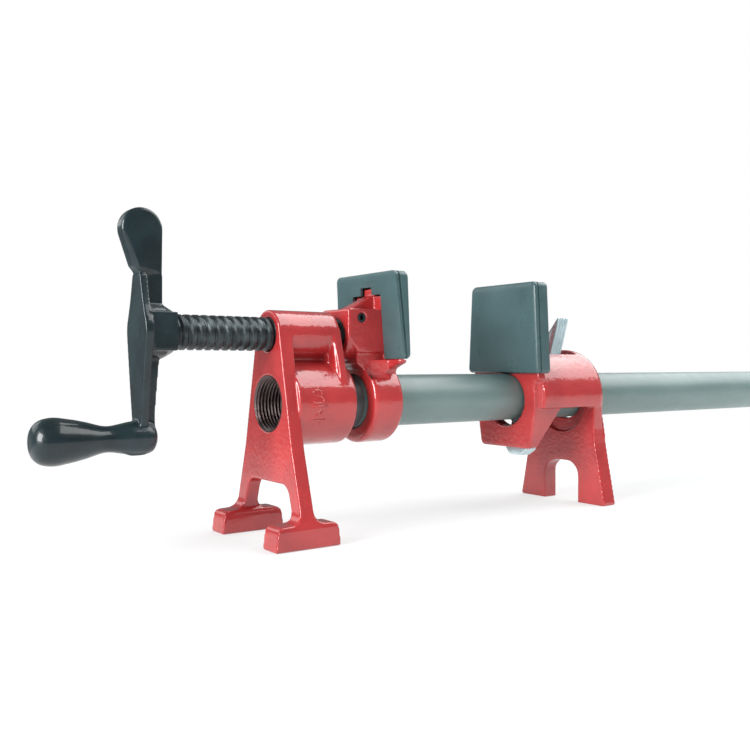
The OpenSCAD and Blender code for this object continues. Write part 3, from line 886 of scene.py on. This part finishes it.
    @classmethod
    def stroke(cls, name: str, points: list[Vector], radius: float) -> bpy.types.Object:
        """Draws a round bead through some points.

        Args:
            name: the object's name.
            points: the middle of the bead, point by point.
            radius: the bead's radius, in millimetres.

        Returns:
            bpy.types.Object: the closed bead.
        """
        cls.pick(cls.chain(name, points))
        bpy.ops.object.convert(target="CURVE")
        curve = bpy.context.object.data
        curve.bevel_depth = radius * MM
        curve.bevel_resolution = cls.BEAD_ROUND
        curve.use_fill_caps = True
        bpy.ops.object.convert(target="MESH")
        piece = bpy.context.object
        with cls.editing(piece):
            bpy.ops.mesh.remove_doubles(threshold=cls.MERGE)
            bpy.ops.mesh.normals_make_consistent(inside=False)
        return piece

    @classmethod
    def bisect(cls, piece: bpy.types.Object, place: Vector, normal: Vector) -> None:
        """Draws a loop of edges where a plane crosses a piece.

        Args:
            piece: the object.
            place: a point of the plane.
            normal: the plane's direction.
        """
        with cls.editing(piece):
            bpy.ops.mesh.bisect(plane_co=place, plane_no=normal, use_fill=False)

    @classmethod
    def press_in(cls, piece: bpy.types.Object, chosen: Callable[[bpy.types.MeshPolygon], bool],
                 depth: float) -> int:
        """Presses the chosen faces in along their normals, as a groove.

        Args:
            piece: the object.
            chosen: a test of one face.
            depth: how deep, in millimetres.

        Returns:
            int: the number of faces pressed in.
        """
        with cls.editing(piece, "DESELECT"):
            bpy.ops.mesh.select_mode(type="FACE")
        hits = 0
        for polygon in piece.data.polygons:
            polygon.select = chosen(polygon)
            hits += polygon.select
        with cls.editing(piece, None):
            bpy.ops.mesh.extrude_region_shrink_fatten(TRANSFORM_OT_shrink_fatten={"value": -depth * MM})
            bpy.ops.mesh.select_mode(type="VERT")
        return hits

    @classmethod
    def dress(cls, piece: bpy.types.Object, material: bpy.types.Material) -> None:
        """Gives a piece one finish.

        Args:
            piece: the object.
            material: its finish.
        """
        piece.data.materials.clear()
        piece.data.materials.append(material)
        for polygon in piece.data.polygons:
            polygon.material_index = 0


def report(piece: bpy.types.Object) -> None:
    """Logs one finished piece and its number of faces.

    Args:
        piece: the object.
    """
    LOG.info("%s: %d faces", piece.name, len(piece.data.polygons))


# --------------------------------------------------------------------------------------------------
# Sub-assemblies


class Seat(NamedTuple):
    """Where a piece belongs: its material slot, the node it stands for and the body it rides."""

    slot: str
    node: str | None
    body: str


def seat(piece: bpy.types.Object, material: bpy.types.Material, place: Seat) -> bpy.types.Object:
    """Finishes a piece, and puts it in its node's place on its body.

    Args:
        piece: the object.
        material: its finish.
        place: its slot, node and body.

    Returns:
        bpy.types.Object: the same piece.
    """
    Bench.dress(piece, material)
    if place.node:
        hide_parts(place.node)
    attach(piece, place.body)
    return piece


@dataclass
class Head:
    """The fixed head casting with its raised size mark and its thread, and the pipe screwed into it."""

    finishes: Finishes
    casting_grain: float = 0.5
    casting_rounds: int = 7
    boss_r: float = 20.485
    spindle_boss_r: float = 11.55
    web_half: float = 3.2
    pocket_out: float = 16.0
    pocket_start: float = 8.2
    pocket_length: float = 20.6
    pocket_middle: float = 22.0
    pocket_height: float = 16.0
    flange_start: float = 30.3
    flange_thick: float = 4.1
    flange_spindle_r: float = 8.2
    flange_pipe_r: float = 13.4
    bore_start: float = 20.0
    bore_length: float = 30.0
    bead_r: float = 0.52
    bead_sunk: float = 0.12
    pipe_r: float = 13.335
    pipe_bore_r: float = 10.465
    pipe_end: float = 475.7
    pipe_turned: float = 0.3
    pipe_chamfer: float = 0.8
    pipe_tip: tuple[float, float] = (0.4, 0.5)
    pipe_neck: float = 0.1
    pipe_thread_length: float = 20.0
    pipe_thread_depth: float = 1.0
    pipe_thread_worn: float = 0.05
    pipe_pitch: float = INCH_MM / 14
    mouth_front: float = 0.12
    mouth_gap: float = 0.4
    mouth_outer_r: float = 13.5
    mouth_ridge: tuple[float, float] = (0.5, 0.2)
    mouth_root_r: float = 13.0
    mouth_crest_r: float = 12.1
    sink_r: float = 14.3
    sink_depth: float = 1.35

    # Strokes of the raised 3 over a bar over 4, as (along the pipe, up the boss) in millimetres
    THREE = ((13.4, 5.6), (14.4, 6.6), (16.4, 6.9), (18.2, 6.2), (18.6, 5.0), (17.6, 4.1), (16.2, 3.8),
             (18.0, 3.4), (19.2, 2.4), (19.0, 1.2), (17.2, 0.5), (14.8, 0.6), (13.2, 1.4))
    BAR = ((11.9, -0.8), (21.2, -0.8))
    FOUR = (((17.6, -2.4), (12.8, -7.4), (19.8, -7.4)), ((17.6, -2.4), (17.6, -9.9)))
    # Corners of the flange behind the bosses, as (across the pipe, above its axis) in millimetres
    FLANGE = ((-10.9, 36.0), (10.9, 36.0), (19.4, 5.5), (-19.4, 5.5))
    # Degrees that keep the edges of the cutting tools off the edges of what they cut
    TAP_TWIST, SINK_TWIST, TEETH_TWIST = 1.7, 0.7, 1.3
    # How far a tool goes past the piece, in millimetres
    TAP_LEAD, SINK_LEAD, BORE_LEAD = 3.0, 1.0, 5.0
    MOUTH_STEPS, SINK_STEPS, PIPE_STEPS = 72, 90, 96
    THREAD_ANGLE = 35.0

    def on_boss(self, along: float, up: float) -> Vector:
        """A place on the near side of the pipe boss.

        Args:
            along: millimetres behind the head's front face.
            up: millimetres up along the boss's round surface from the height of its axis.

        Returns:
            Vector: the place in the row frame.
        """
        angle, r = up / self.boss_r, self.boss_r - self.bead_sunk
        return DATUM.at(along, -r * math.cos(angle), r * math.sin(angle))

    def marks(self) -> list[bpy.types.Object]:
        """Draws the raised size mark, the number 3 over a bar over the number 4.

        Returns:
            list: its beads.
        """
        strokes = [self.THREE, self.BAR, *self.FOUR]
        return [Bench.stroke(f"mark_{count}", [self.on_boss(*point) for point in stroke], self.bead_r)
                for count, stroke in enumerate(strokes)]

    def pockets(self) -> bpy.types.Object:
        """Shapes the two pockets between the bosses, beside the web that ties them together.

        Returns:
            bpy.types.Object: both pockets, as one cutting tool.
        """
        middle = (self.web_half + self.pocket_out) / 2
        size = (self.pocket_length, self.pocket_out - self.web_half, self.pocket_height)
        starts = [DATUM.at(self.pocket_start, side * middle, self.pocket_middle) for side in SIDES]
        halves = [Bench.block("pocket", start, size) for start in starts]
        pocket = Bench.join(halves, "pocket")
        bosses = ((self.boss_r, 0.0), (self.spindle_boss_r, DATUM.spindle_rise))
        Bench.bore(pocket, 0.0, self.bore_start + self.bore_length, bosses)
        return pocket

    def rear_flange(self) -> bpy.types.Object:
        """Shapes the flange that runs from boss to boss behind the web, with both bores through it.

        Returns:
            bpy.types.Object: the flange.
        """
        outline = [DATUM.at(self.flange_start, across, above) for across, above in self.FLANGE]
        flange = Bench.prism("rear_flange", outline, Vector((self.flange_thick * MM, 0.0, 0.0)))
        bores = ((self.flange_spindle_r, DATUM.spindle_rise), (self.flange_pipe_r, 0.0))
        Bench.bore(flange, self.bore_start, self.bore_length, bores)
        return flange

    def casting(self) -> bpy.types.Object:
        """Casts the head over its solid, with deeper pockets and with the raised mark on its boss.

        Returns:
            bpy.types.Object: the casting.
        """
        piece = Bench.copy_of("head_casting", "head_casting_skin")
        Bench.boolean(piece, self.pockets(), Operation.CUT)
        piece = Bench.join([piece, self.rear_flange()], "head_casting_skin")
        Bench.cast_skin(piece, self.casting_grain, self.casting_rounds)
        piece = Bench.join([piece, *self.marks()], "head_casting_skin")
        Bench.shade(piece)
        return seat(piece, self.finishes.red, Seat("red_paint", "head_casting", Body.FIXED.value))

    def mouth_thread(self) -> bpy.types.Object:
        """Cuts the thread that shows in the head's open mouth, as a thin steel lining of the bore.

        Returns:
            bpy.types.Object: the lining.
        """
        length, outer_r = PIPE_START - self.mouth_gap, self.mouth_outer_r
        ridge_at, ridge = self.mouth_ridge
        root, crest, pitch = self.mouth_root_r, self.mouth_crest_r, self.pipe_pitch
        piece = Bench.spun("mouth_thread", DATUM.at(self.mouth_front), [
            (0.0, 0.0), (0.0, outer_r), (ridge_at, outer_r + ridge), (length, outer_r), (length, 0.0)],
            steps=self.MOUTH_STEPS)
        tooth = ((0.0, crest), (0.10, crest), (0.46, root), (0.56, root), (0.92, crest), (1.0, crest))
        turns = int((length + self.TAP_LEAD + 1.0) / pitch) + 1
        tap = Bench.thread("mouth_tap", DATUM.at(self.mouth_front - self.TAP_LEAD), tooth, pitch, turns,
                           self.MOUTH_STEPS, self.TAP_TWIST)
        Bench.boolean(piece, tap, Operation.CUT)
        sink = Bench.spun("countersink", DATUM.at(self.mouth_front), [
            (-self.SINK_LEAD, 0.0), (-self.SINK_LEAD, self.sink_r), (self.sink_depth, crest - 0.2),
            (self.sink_depth, 0.0)], steps=self.SINK_STEPS, twist=self.SINK_TWIST)
        Bench.boolean(piece, sink, Operation.CUT)
        Bench.shade(piece, self.THREAD_ANGLE)
        return seat(piece, self.finishes.raw, Seat("red_paint", None, Body.FIXED.value))

    def pipe(self) -> bpy.types.Object:
        """Turns the pipe with its bore, and cuts the thread on its far end.

        Returns:
            bpy.types.Object: the pipe.
        """
        start, end, thread = PIPE_START, self.pipe_end, self.pipe_thread_length
        crest, root = self.pipe_r - self.pipe_thread_worn, self.pipe_r - self.pipe_thread_depth
        low_r, neck_r = self.pipe_r - self.pipe_turned, root - self.pipe_neck
        body_end, chamfer, (tip_length, tip_depth) = end - thread, self.pipe_chamfer, self.pipe_tip
        pipe = Bench.spun("pipe_body", DATUM.at(0.0), [
            (start, 0.0), (start, low_r - chamfer), (start + chamfer, low_r), (start + thread, low_r),
            (start + thread + self.pipe_turned, self.pipe_r), (body_end, self.pipe_r),
            (body_end + chamfer, neck_r), (end - tip_length, neck_r), (end, root - tip_depth),
            (end, 0.0)], steps=self.PIPE_STEPS)
        tooth = ((0.0, root), (0.08, root), (0.44, crest), (0.56, crest), (0.92, root), (1.0, root))
        turns = int((thread - 1.2) / self.pipe_pitch) - 1
        teeth = Bench.thread("pipe_teeth", DATUM.at(body_end - 1.0), tooth, self.pipe_pitch, turns,
                             self.PIPE_STEPS, self.TEETH_TWIST)
        Bench.boolean(pipe, teeth, Operation.ADD)
        bore_start, bore_end = start - self.BORE_LEAD, end + self.BORE_LEAD
        bore = Bench.spun("pipe_bore", DATUM.at(0.0), [
            (bore_start, 0.0), (bore_start, self.pipe_bore_r), (bore_end, self.pipe_bore_r),
            (bore_end, 0.0)], steps=self.PIPE_STEPS)
        Bench.boolean(pipe, bore, Operation.CUT)
        pipe.name = "pipe_threaded"
        Bench.shade(pipe, self.THREAD_ANGLE)
        return seat(pipe, self.finishes.pipe, Seat("pipe_paint", "pipe", Body.FIXED.value))

    def build(self) -> list[bpy.types.Object]:
        """Builds the head's pieces.

        Returns:
            list: the pieces.
        """
        return [self.casting(), self.mouth_thread(), self.pipe()]


@dataclass
class ScrewSet:
    """The screw with its rolled thread, and its crank."""

    finishes: Finishes
    crank_grain: float = 0.5
    crank_rounds: int = 5
    crest_r: float = 8.0
    root_r: float = 7.1
    root_fillet: float = 0.12
    crest_round: float = 0.15
    pitch: float = INCH_MM / 6
    screw_start: float = -52.0
    screw_end: float = 51.7
    screw_chamfer: float = 1.0
    run_out: float = 4.0
    journal_start: float = 34.0
    journal_low_end: float = 38.6
    journal_full: float = 39.2
    journal_low: float = 0.1
    groove_middle: float = 46.6
    groove_half: float = 2.6
    groove_r: float = 6.2
    crank_face: float = -63.8
    dome: float = 0.04
    tenon_r: float = 5.2
    plug_lip: float = 0.4
    plug_end: float = -50.0
    hub_flat: float = 9.6
    hub_length: float = 12.2
    hub_height: float = 16.8
    hub_back: float = 3.0
    beside_back: float = 3.8
    clearing_lead: float = 20.0
    clearing_rise: float = 20.8
    grip_height: float = -13.0
    knob_middle: tuple[float, float] = (-61.9, 77.0)
    knob_r: float = 9.2
    knob_half: float = 3.8
    knob_foot: float = 56.8
    knob_foot_share: float = 0.78
    knob_foot_band: float = 0.1
    knob_edge: float = 1.5

    # The elbow over the grip's root, as (behind the crank's face, radius) in millimetres
    ELBOW = ((0.3, 0.0), (0.3, 7.2), (4.6, 7.2), (6.6, 6.4), (8.0, 4.4), (8.4, 0.0))
    # The tip at the knob's front, as (behind the crank's face, above the knob's foot) in millimetres
    TIP = ((-2.4, 4.0), (-0.9, 2.4), (0.2, 0.0))
    # Blocks as (length, width, height): what clears the plain knob away, and what squares the hub's sides
    CLEARING, BESIDE_HUB = (45.0, 40.0, 40.0), (14.0, 10.0, 30.0)
    SCREW_STEPS, PLUG_STEPS, ELBOW_STEPS = 56, 48, 40
    THREAD_ANGLE, KNOB_ANGLE = 32.0, 60.0
    # The knob's round: how far it reaches and its step, in degrees
    CROWN_TURN, CROWN_STEP = 206, 9

    def screw(self) -> bpy.types.Object:
        """Rolls the screw's thread and turns its plain end with the groove for the pin.

        Returns:
            bpy.types.Object: the screw.
        """
        root, crest, pitch, start = self.root_r, self.crest_r, self.pitch, self.screw_start
        low, high = root + self.root_fillet, crest - self.crest_round
        tooth = ((0.0, root), (0.20, root), (0.24, low), (0.38, high), (0.43, crest), (0.80, crest),
                 (0.85, high), (0.97, low), (1.0, root))
        turns = int((self.journal_start + self.run_out - start) / pitch) - 1
        rolled = Bench.thread("screw_rolled", DATUM.at(start, 0.0, DATUM.spindle_rise), tooth, pitch,
                              turns, self.SCREW_STEPS)
        low_r, groove_r, chamfer = root - self.journal_low, self.groove_r, self.screw_chamfer
        groove_start = self.groove_middle - self.groove_half
        groove_end = self.groove_middle + self.groove_half
        journal = Bench.spun("screw_journal", DATUM.at(0.0, 0.0, DATUM.spindle_rise), [
            (self.journal_start, 0.0), (self.journal_start, low_r), (self.journal_low_end, low_r),
            (self.journal_full, crest), (groove_start, crest), (groove_start, groove_r),
            (groove_end, groove_r), (groove_end, crest), (self.screw_end - chamfer, crest),
            (self.screw_end, crest - chamfer), (self.screw_end, 0.0)], steps=self.SCREW_STEPS)
        piece = Bench.join([rolled, journal], "screw_threaded")
        Bench.shade(piece, self.THREAD_ANGLE)
        return seat(piece, self.finishes.oxide, Seat("black_oxide", "spindle", Body.SCREW.value))

    def knob(self) -> bpy.types.Object:
        """Shapes the flat-sided finger knob, which runs down into the arm and ends in a tip at its front.

        Returns:
            bpy.types.Object: the knob.
        """
        (x, z), r, foot, face = self.knob_middle, self.knob_r, self.knob_foot, self.crank_face
        crown = [(x + r * math.cos(math.radians(turn)), z + r * math.sin(math.radians(turn)))
                 for turn in range(0, self.CROWN_TURN, self.CROWN_STEP)]
        outline = [(x + r, foot), *crown, *((face + back, foot + up) for back, up in self.TIP)]
        knob = Bench.prism("knob", [DATUM.at(along, -self.knob_half, up) for along, up in outline],
                           Vector((0.0, 2 * self.knob_half * MM, 0.0)))
        for vertex in knob.data.vertices:
            if vertex.co.z < DATUM.at(0.0, 0.0, foot + self.knob_foot_band).z:
                vertex.co.y *= self.knob_foot_share
        Bench.apply(knob, "BEVEL", width=self.knob_edge * MM, segments=3, limit_method="ANGLE",
                    angle_limit=math.radians(self.KNOB_ANGLE), use_clamp_overlap=True)
        return knob

    def plug(self) -> bpy.types.Object:
        """Turns the plug that closes the hub, slightly domed where the screw is peened into it.

        Returns:
            bpy.types.Object: the plug.
        """
        front, r = self.crank_face - self.dome, self.tenon_r
        return Bench.spun("crank_plug", DATUM.at(0.0, 0.0, DATUM.spindle_rise), [
            (front, 0.0), (front, r), (self.crank_face + 0.3, r + self.plug_lip),
            (self.plug_end, r + self.plug_lip), (self.plug_end, 0.0)], steps=self.PLUG_STEPS)

    def crank(self) -> bpy.types.Object:
        """Casts the crank over its solid, with its knob, elbow, closed hub and the hub's flat sides.

        Returns:
            bpy.types.Object: the crank.
        """
        face, rise, flat = self.crank_face, DATUM.spindle_rise, self.hub_flat
        piece, plug = Bench.copy_of("crank_handle", "crank_casting_skin"), self.plug()
        above_foot = DATUM.at(face - self.clearing_lead, 0.0, self.knob_foot + self.clearing_rise)
        Bench.boolean(piece, Bench.block("above_foot", above_foot, self.CLEARING), Operation.CUT)
        hub = Bench.block("hub_block", DATUM.at(face + self.hub_back, 0.0, rise),
                          (self.hub_length, 2 * flat, self.hub_height))
        for side in SIDES:
            beside = DATUM.at(face + self.beside_back, side * (flat + self.BESIDE_HUB[1] / 2), rise)
            Bench.boolean(piece, Bench.block("hub_side", beside, self.BESIDE_HUB), Operation.CUT)
        elbow = Bench.spun("elbow", DATUM.at(face, 0.0, self.grip_height), self.ELBOW,
                           steps=self.ELBOW_STEPS)
        piece = Bench.join([piece, plug, hub, elbow, self.knob()], "crank_casting_skin")
        Bench.cast_skin(piece, self.crank_grain, self.crank_rounds)
        return seat(piece, self.finishes.black, Seat("black_paint", "crank_handle", Body.SCREW.value))

    def build(self) -> list[bpy.types.Object]:
        """Builds the screw and the crank.

        Returns:
            list: the pieces.
        """
        return [self.screw(), self.crank()]


@dataclass(frozen=True)
class Pad:
    """A moulded pad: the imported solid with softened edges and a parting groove, in millimetres."""

    node: str
    groove_inset: float
    groove_width: float
    groove_depth: float
    groove_lean: float = 0.0
    edge: float = 0.18

    # How far out the rim begins, as shares of the pad's width and height, and how squarely it faces out
    RIM_ACROSS, RIM_UP, RIM_FACING = 0.40, 0.46, 0.4

    def mould(self) -> bpy.types.Object:
        """Copies the pad's solid and presses the groove in all round it.

        Returns:
            bpy.types.Object: the pad.
        """
        piece = Bench.copy_of(self.node, f"{self.node}_moulded")
        low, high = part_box(self.node)
        middle, width = (low + high) / 2, self.groove_width * MM
        start = Vector((low.x + self.groove_inset * MM, 0.0, high.z))
        way = Vector((1.0, 0.0, self.groove_lean)).normalized()
        for offset in (0.0, width):
            Bench.bisect(piece, start + way * offset, way)

        def in_groove(polygon: bpy.types.MeshPolygon) -> bool:
            """Tells whether a face lies between the groove's edges on the pad's rim."""
            share = (polygon.center - start).dot(way)
            out = Vector((0.0, polygon.center.y - middle.y, polygon.center.z - middle.z))
            at_rim = (abs(out.y) > self.RIM_ACROSS * (high.y - low.y)
                      or abs(out.z) > self.RIM_UP * (high.z - low.z))
            return (0.0 < share < width and at_rim and abs(polygon.normal.dot(way)) < self.RIM_FACING
                    and polygon.normal.dot(out) > 0.0)

        pressed = Bench.press_in(piece, in_groove, self.groove_depth)
        LOG.info("%s: %d faces in its groove", piece.name, pressed)
        Bench.ease_edges(piece, self.edge, 2)
        return piece


@dataclass
class Jaw:
    """The sliding jaw, its pin and its pad."""

    finishes: Finishes
    casting_grain: float = 0.45
    casting_rounds: int = 7
    socket_face: float = 38.6
    trim_low: float = 11.5
    trim_height: float = 10.0
    pad_shape: Pad = Pad("jaw_pad", 1.5, 1.1, 0.6, groove_lean=3.4 / 43.5)

    # The rounder socket boss, as (behind the socket's face, radius) in millimetres
    BOSS = ((0.0, 8.2), (0.0, 10.6), (1.4, 11.95), (16.0, 11.95), (16.0, 8.2), (0.0, 8.2))
    BOSS_STEPS = 72
    # What is trimmed off beside the foot, as (behind the head's front face, across) in millimetres
    TRIM = ((49.0, 10.9), (52.5, 10.9), (59.3, 16.5), (60.6, 26.5), (49.0, 26.5))

    def casting(self) -> bpy.types.Object:
        """Casts the sliding jaw over its solid, with a rounder socket boss and a foot that flares later.

        Returns:
            bpy.types.Object: the casting.
        """
        piece = Bench.copy_of("sliding_jaw", "sliding_jaw_skin")
        boss = Bench.spun("socket_boss", DATUM.at(self.socket_face, 0.0, DATUM.spindle_rise), self.BOSS,
                          steps=self.BOSS_STEPS)
        for side in SIDES:
            outline = [DATUM.at(x, side * y, self.trim_low) for x, y in self.TRIM]
            beside = Bench.prism("beside_web", outline, Vector((0.0, 0.0, self.trim_height * MM)))
            Bench.boolean(piece, beside, Operation.CUT)
        piece = Bench.join([piece, boss], "sliding_jaw_skin")
        Bench.cast_skin(piece, self.casting_grain, self.casting_rounds)
        return seat(piece, self.finishes.red, Seat("red_paint", "sliding_jaw", Body.JAW.value))

    def pad(self) -> bpy.types.Object:
        """Moulds the jaw's pad, with a groove near its leaning back."""
        place = Seat("pad_plastic", "jaw_pad", Body.JAW.value)
        return seat(self.pad_shape.mould(), self.finishes.pad, place)

    def build(self) -> list[bpy.types.Object]:
        """Builds the jaw's pieces.

        Returns:
            list: the pieces.
        """
        Bench.dress(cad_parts["jaw_pin"], self.finishes.oxide)
        return [self.casting(), self.pad()]


@dataclass
class TailStop:
    """The tail casting, its pad, the clutch plates and their spring."""

    finishes: Finishes
    casting_grain: float = 0.6
    casting_rounds: int = 4
    bush_start: float = 206.3
    bush_end: float = 212.4
    bush_hole_r: float = 13.75
    bush_out_r: float = 18.0
    bush_drop: float = 0.3
    fillet_low: float = -5.8
    fillet_height: float = 18.0
    saddle_start: float = 150.0
    saddle_length: float = 20.0
    saddle_r: float = 27.3
    plate_edge: float = 0.65
    plate_count: int = 4
    pad_shape: Pad = Pad("tail_pad", 2.2, 1.2, 0.5)

    # A fillet before the cheek, as (behind the head's front face, across) in millimetres
    FILLET = ((157.2, 22.6), (161.6, 27.2), (162.4, 22.6))
    BUSH_STEPS = 72

    def rear_bush(self) -> bpy.types.Object:
        """Turns a ring that narrows the rear plate's hole round the pipe.

        Returns:
            bpy.types.Object: the ring.
        """
        start, end, hole, out = self.bush_start, self.bush_end, self.bush_hole_r, self.bush_out_r
        return Bench.spun("rear_bush", DATUM.at(0.0, 0.0, -self.bush_drop), [
            (start, hole), (start, out), (end, out), (end, hole), (start, hole)], steps=self.BUSH_STEPS)

    def cheek_fillet(self, side: float) -> bpy.types.Object:
        """Shapes the fillet between the face plate and one cheek, cut to the saddle's round.

        Args:
            side: -1 for the near cheek and 1 for the far one.

        Returns:
            bpy.types.Object: the fillet.
        """
        outline = [DATUM.at(x, side * y, self.fillet_low) for x, y in self.FILLET]
        fillet = Bench.prism("cheek_fillet", outline, Vector((0.0, 0.0, self.fillet_height * MM)))
        saddle = Bench.rod("saddle_round", DATUM.at(self.saddle_start), self.saddle_length, self.saddle_r)
        Bench.boolean(fillet, saddle, Operation.COMMON)
        return fillet

    def casting(self) -> bpy.types.Object:
        """Casts the tail stop over its solid, with a narrower rear hole and filled cheeks.

        Returns:
            bpy.types.Object: the casting.
        """
        piece = Bench.copy_of("tail_casting", "tail_casting_skin")
        parts = [piece, self.rear_bush(), *(self.cheek_fillet(side) for side in SIDES)]
        piece = Bench.join(parts, "tail_casting_skin")
        Bench.cast_skin(piece, self.casting_grain, self.casting_rounds)
        return seat(piece, self.finishes.red, Seat("red_paint", "tail_casting", Body.TAIL.value))

    def pad(self) -> bpy.types.Object:
        """Moulds the tail's pad, with a groove behind its face."""
        place = Seat("pad_plastic", "tail_pad", Body.TAIL.value)
        return seat(self.pad_shape.mould(), self.finishes.pad, place)

    def plate(self, number: int) -> bpy.types.Object:
        """Stamps one clutch plate with rolled edges.

        Args:
            number: which plate, counted from the front.

        Returns:
            bpy.types.Object: the plate.
        """
        node = f"clutch_plate_{number}"
        piece = Bench.copy_of(node, f"{node}_stamped")
        Bench.ease_edges(piece, self.plate_edge, 1)
        return seat(piece, self.finishes.zinc, Seat("zinc_plate", node, f"clutch_{number}"))

    def build(self) -> list[bpy.types.Object]:
        """Builds the tail stop's pieces.

        Returns:
            list: the pieces.
        """
        Bench.dress(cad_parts["clutch_spring"], self.finishes.spring)
        plates = (self.plate(number) for number in range(1, self.plate_count + 1))
        return [self.casting(), self.pad(), *plates]


# --------------------------------------------------------------------------------------------------
# Studio


@dataclass(frozen=True)
class Lamp:
    """A soft box, in metres and watts, and the place it faces."""

    name: str
    place: tuple[float, float, float]
    size: tuple[float, float]
    watts: float
    aim: tuple[float, float, float] = (-0.05, 0.0, 0.06)

    def hang(self) -> None:
        """Hangs the soft box in its place."""
        data = bpy.data.lights.new(self.name, "AREA")
        data.shape = "RECTANGLE"
        data.size, data.size_y = self.size
        data.energy = self.watts
        lamp = bpy.data.objects.new(self.name, data)
        bpy.context.scene.collection.objects.link(lamp)
        lamp.location = self.place
        lamp.rotation_euler = (Vector(self.aim) - Vector(self.place)).to_track_quat("-Z", "Y").to_euler()


@dataclass
class Studio:
    """The white floor, the soft lamps and the camera at the photograph's angle."""

    lens: float = 41.28
    sensor: float = 36.0
    clip_start: float = 0.01
    camera_place: tuple[float, float, float] = (-0.38047, -0.36098, 0.08284)
    look_round: float = 54.28
    look_down: float = 0.70
    floor_size: float = 12.0
    floor_drop: float = 0.05 * MM
    floor_glow: float = 0.62
    floor_clear: tuple[float, float] = (0.25, 0.75)
    floor_dims: tuple[float, float] = (0.08, 0.38)
    floor_far: float = 0.20
    fill: float = 0.31
    room: float = 0.22

    WHITE = (1.0, 1.0, 1.0, 1.0)
    FLOOR_COLOUR = (0.92, 0.92, 0.92, 1.0)
    FILL_COLOUR = (0.90, 0.97, 1.0, 1.0)
    ROOM_COLOUR = (0.85, 0.97, 1.0, 1.0)
    LAMPS = (
        Lamp("ceiling_box", (0.62, -0.28, 1.0), (1.0, 1.3), 17.0, (0.62, -0.28, 0.0)),
        Lamp("far_ceiling_box", (1.70, 0.0, 1.0), (1.1, 2.0), 20.0, (1.70, 0.0, 0.0)),
        Lamp("back_panel", (-0.98, 1.28, 0.82), (1.2, 0.8), 4.0),
        Lamp("left_box", (-1.4, -0.25, 0.50), (0.7, 0.7), 23.0),
    )

    def camera(self) -> None:
        """Places the camera where the photograph was taken from."""
        data = bpy.data.cameras.new("camera")
        data.lens = self.lens
        data.sensor_width = self.sensor
        data.clip_start = self.clip_start
        camera = bpy.data.objects.new("camera", data)
        bpy.context.scene.collection.objects.link(camera)
        around, down = math.radians(self.look_round), math.radians(self.look_down)
        level = math.cos(down)
        way = Vector((level * math.cos(around), level * math.sin(around), -math.sin(down)))
        camera.location = self.camera_place
        camera.rotation_euler = way.to_track_quat("-Z", "Y").to_euler()
        bpy.context.scene.camera = camera

    def floor_white(self) -> bpy.types.Material:
        """Mixes the floor's plain white with a glow, which the camera and reflections see.

        The share of the glow grows with the distance from the clamp, so the shadow under it stays, and
        reflections see less of the glow behind the clamp.

        Returns:
            bpy.types.Material: the new material.
        """
        material = bpy.data.materials.new("studio_white")
        sheet = NodeSheet(material, "OutputMaterial")
        rays = sheet.add("LightPath")
        by_camera, by_gloss = Out(rays, "Is Camera Ray"), Out(rays, "Is Glossy Ray")
        place = Out(sheet.add("TexCoord"), "Object")
        reach = Out(sheet.add("VectorMath", {0: place}, operation="LENGTH"), "Value")
        behind = Out(sheet.add("SeparateXYZ", {"Vector": place}), "Y")
        clear = sheet.spread(reach, self.floor_clear, self.floor_glow, 1.0)
        share = sheet.figure("MULTIPLY", sheet.figure("MAXIMUM", by_camera, by_gloss), clear)
        dimmer = sheet.spread(behind, self.floor_dims, 1.0, self.floor_far)
        strength = sheet.figure("MAXIMUM", by_camera, dimmer)
        lit = Out(sheet.add("BsdfDiffuse", {"Color": self.FLOOR_COLOUR}), "BSDF")
        glow = Out(sheet.add("Emission", {"Color": self.WHITE, "Strength": strength}), "Emission")
        mix = sheet.add("MixShader", {"Fac": share, 1: lit, 2: glow})
        sheet.wire(sheet.output, {"Surface": Out(mix, "Shader")})
        return material

    def floor(self) -> None:
        """Lays a white floor that shows the shadow, and reads white to the camera and in reflections."""
        Bench.clear()
        bpy.ops.mesh.primitive_plane_add(size=self.floor_size, location=(0, 0, -self.floor_drop))
        floor = bpy.context.object
        floor.name = "studio_floor"
        floor.data.materials.append(self.floor_white())

    def world(self) -> None:
        """Fills the room: plain white to the camera, soft light, and a dim room in reflections."""
        world = bpy.data.worlds.new("studio_world")
        bpy.context.scene.world = world
        sheet = NodeSheet(world, "OutputWorld")
        rays = sheet.add("LightPath")
        shade = Out(sheet.add("Background", {"Color": self.FILL_COLOUR, "Strength": self.fill}), 0)
        for ray, colour, strength in (("Is Glossy Ray", self.ROOM_COLOUR, self.room),
                                      ("Is Camera Ray", self.WHITE, 1.0)):
            seen = Out(sheet.add("Background", {"Color": colour, "Strength": strength}), 0)
            shade = Out(sheet.add("MixShader", {"Fac": Out(rays, ray), 1: shade, 2: seen}), 0)
        sheet.wire(sheet.output, {"Surface": shade})

    def build(self) -> None:
        """Sets up the studio."""
        self.camera()
        self.floor()
        self.world()
        for lamp in self.LAMPS:
            lamp.hang()


def main() -> None:
    """Builds the studio and every sub-assembly, and reports each piece."""
    logging.basicConfig(level=logging.INFO, format="%(name)s: %(message)s")
    bpy.context.scene.view_settings.view_transform = "Standard"
    Studio().build()
    finishes = Finishes()
    for assembly in (Head(finishes), ScrewSet(finishes), Jaw(finishes), TailStop(finishes)):
        for piece in assembly.build():
            report(piece)


if __name__ == "__main__":
    main()
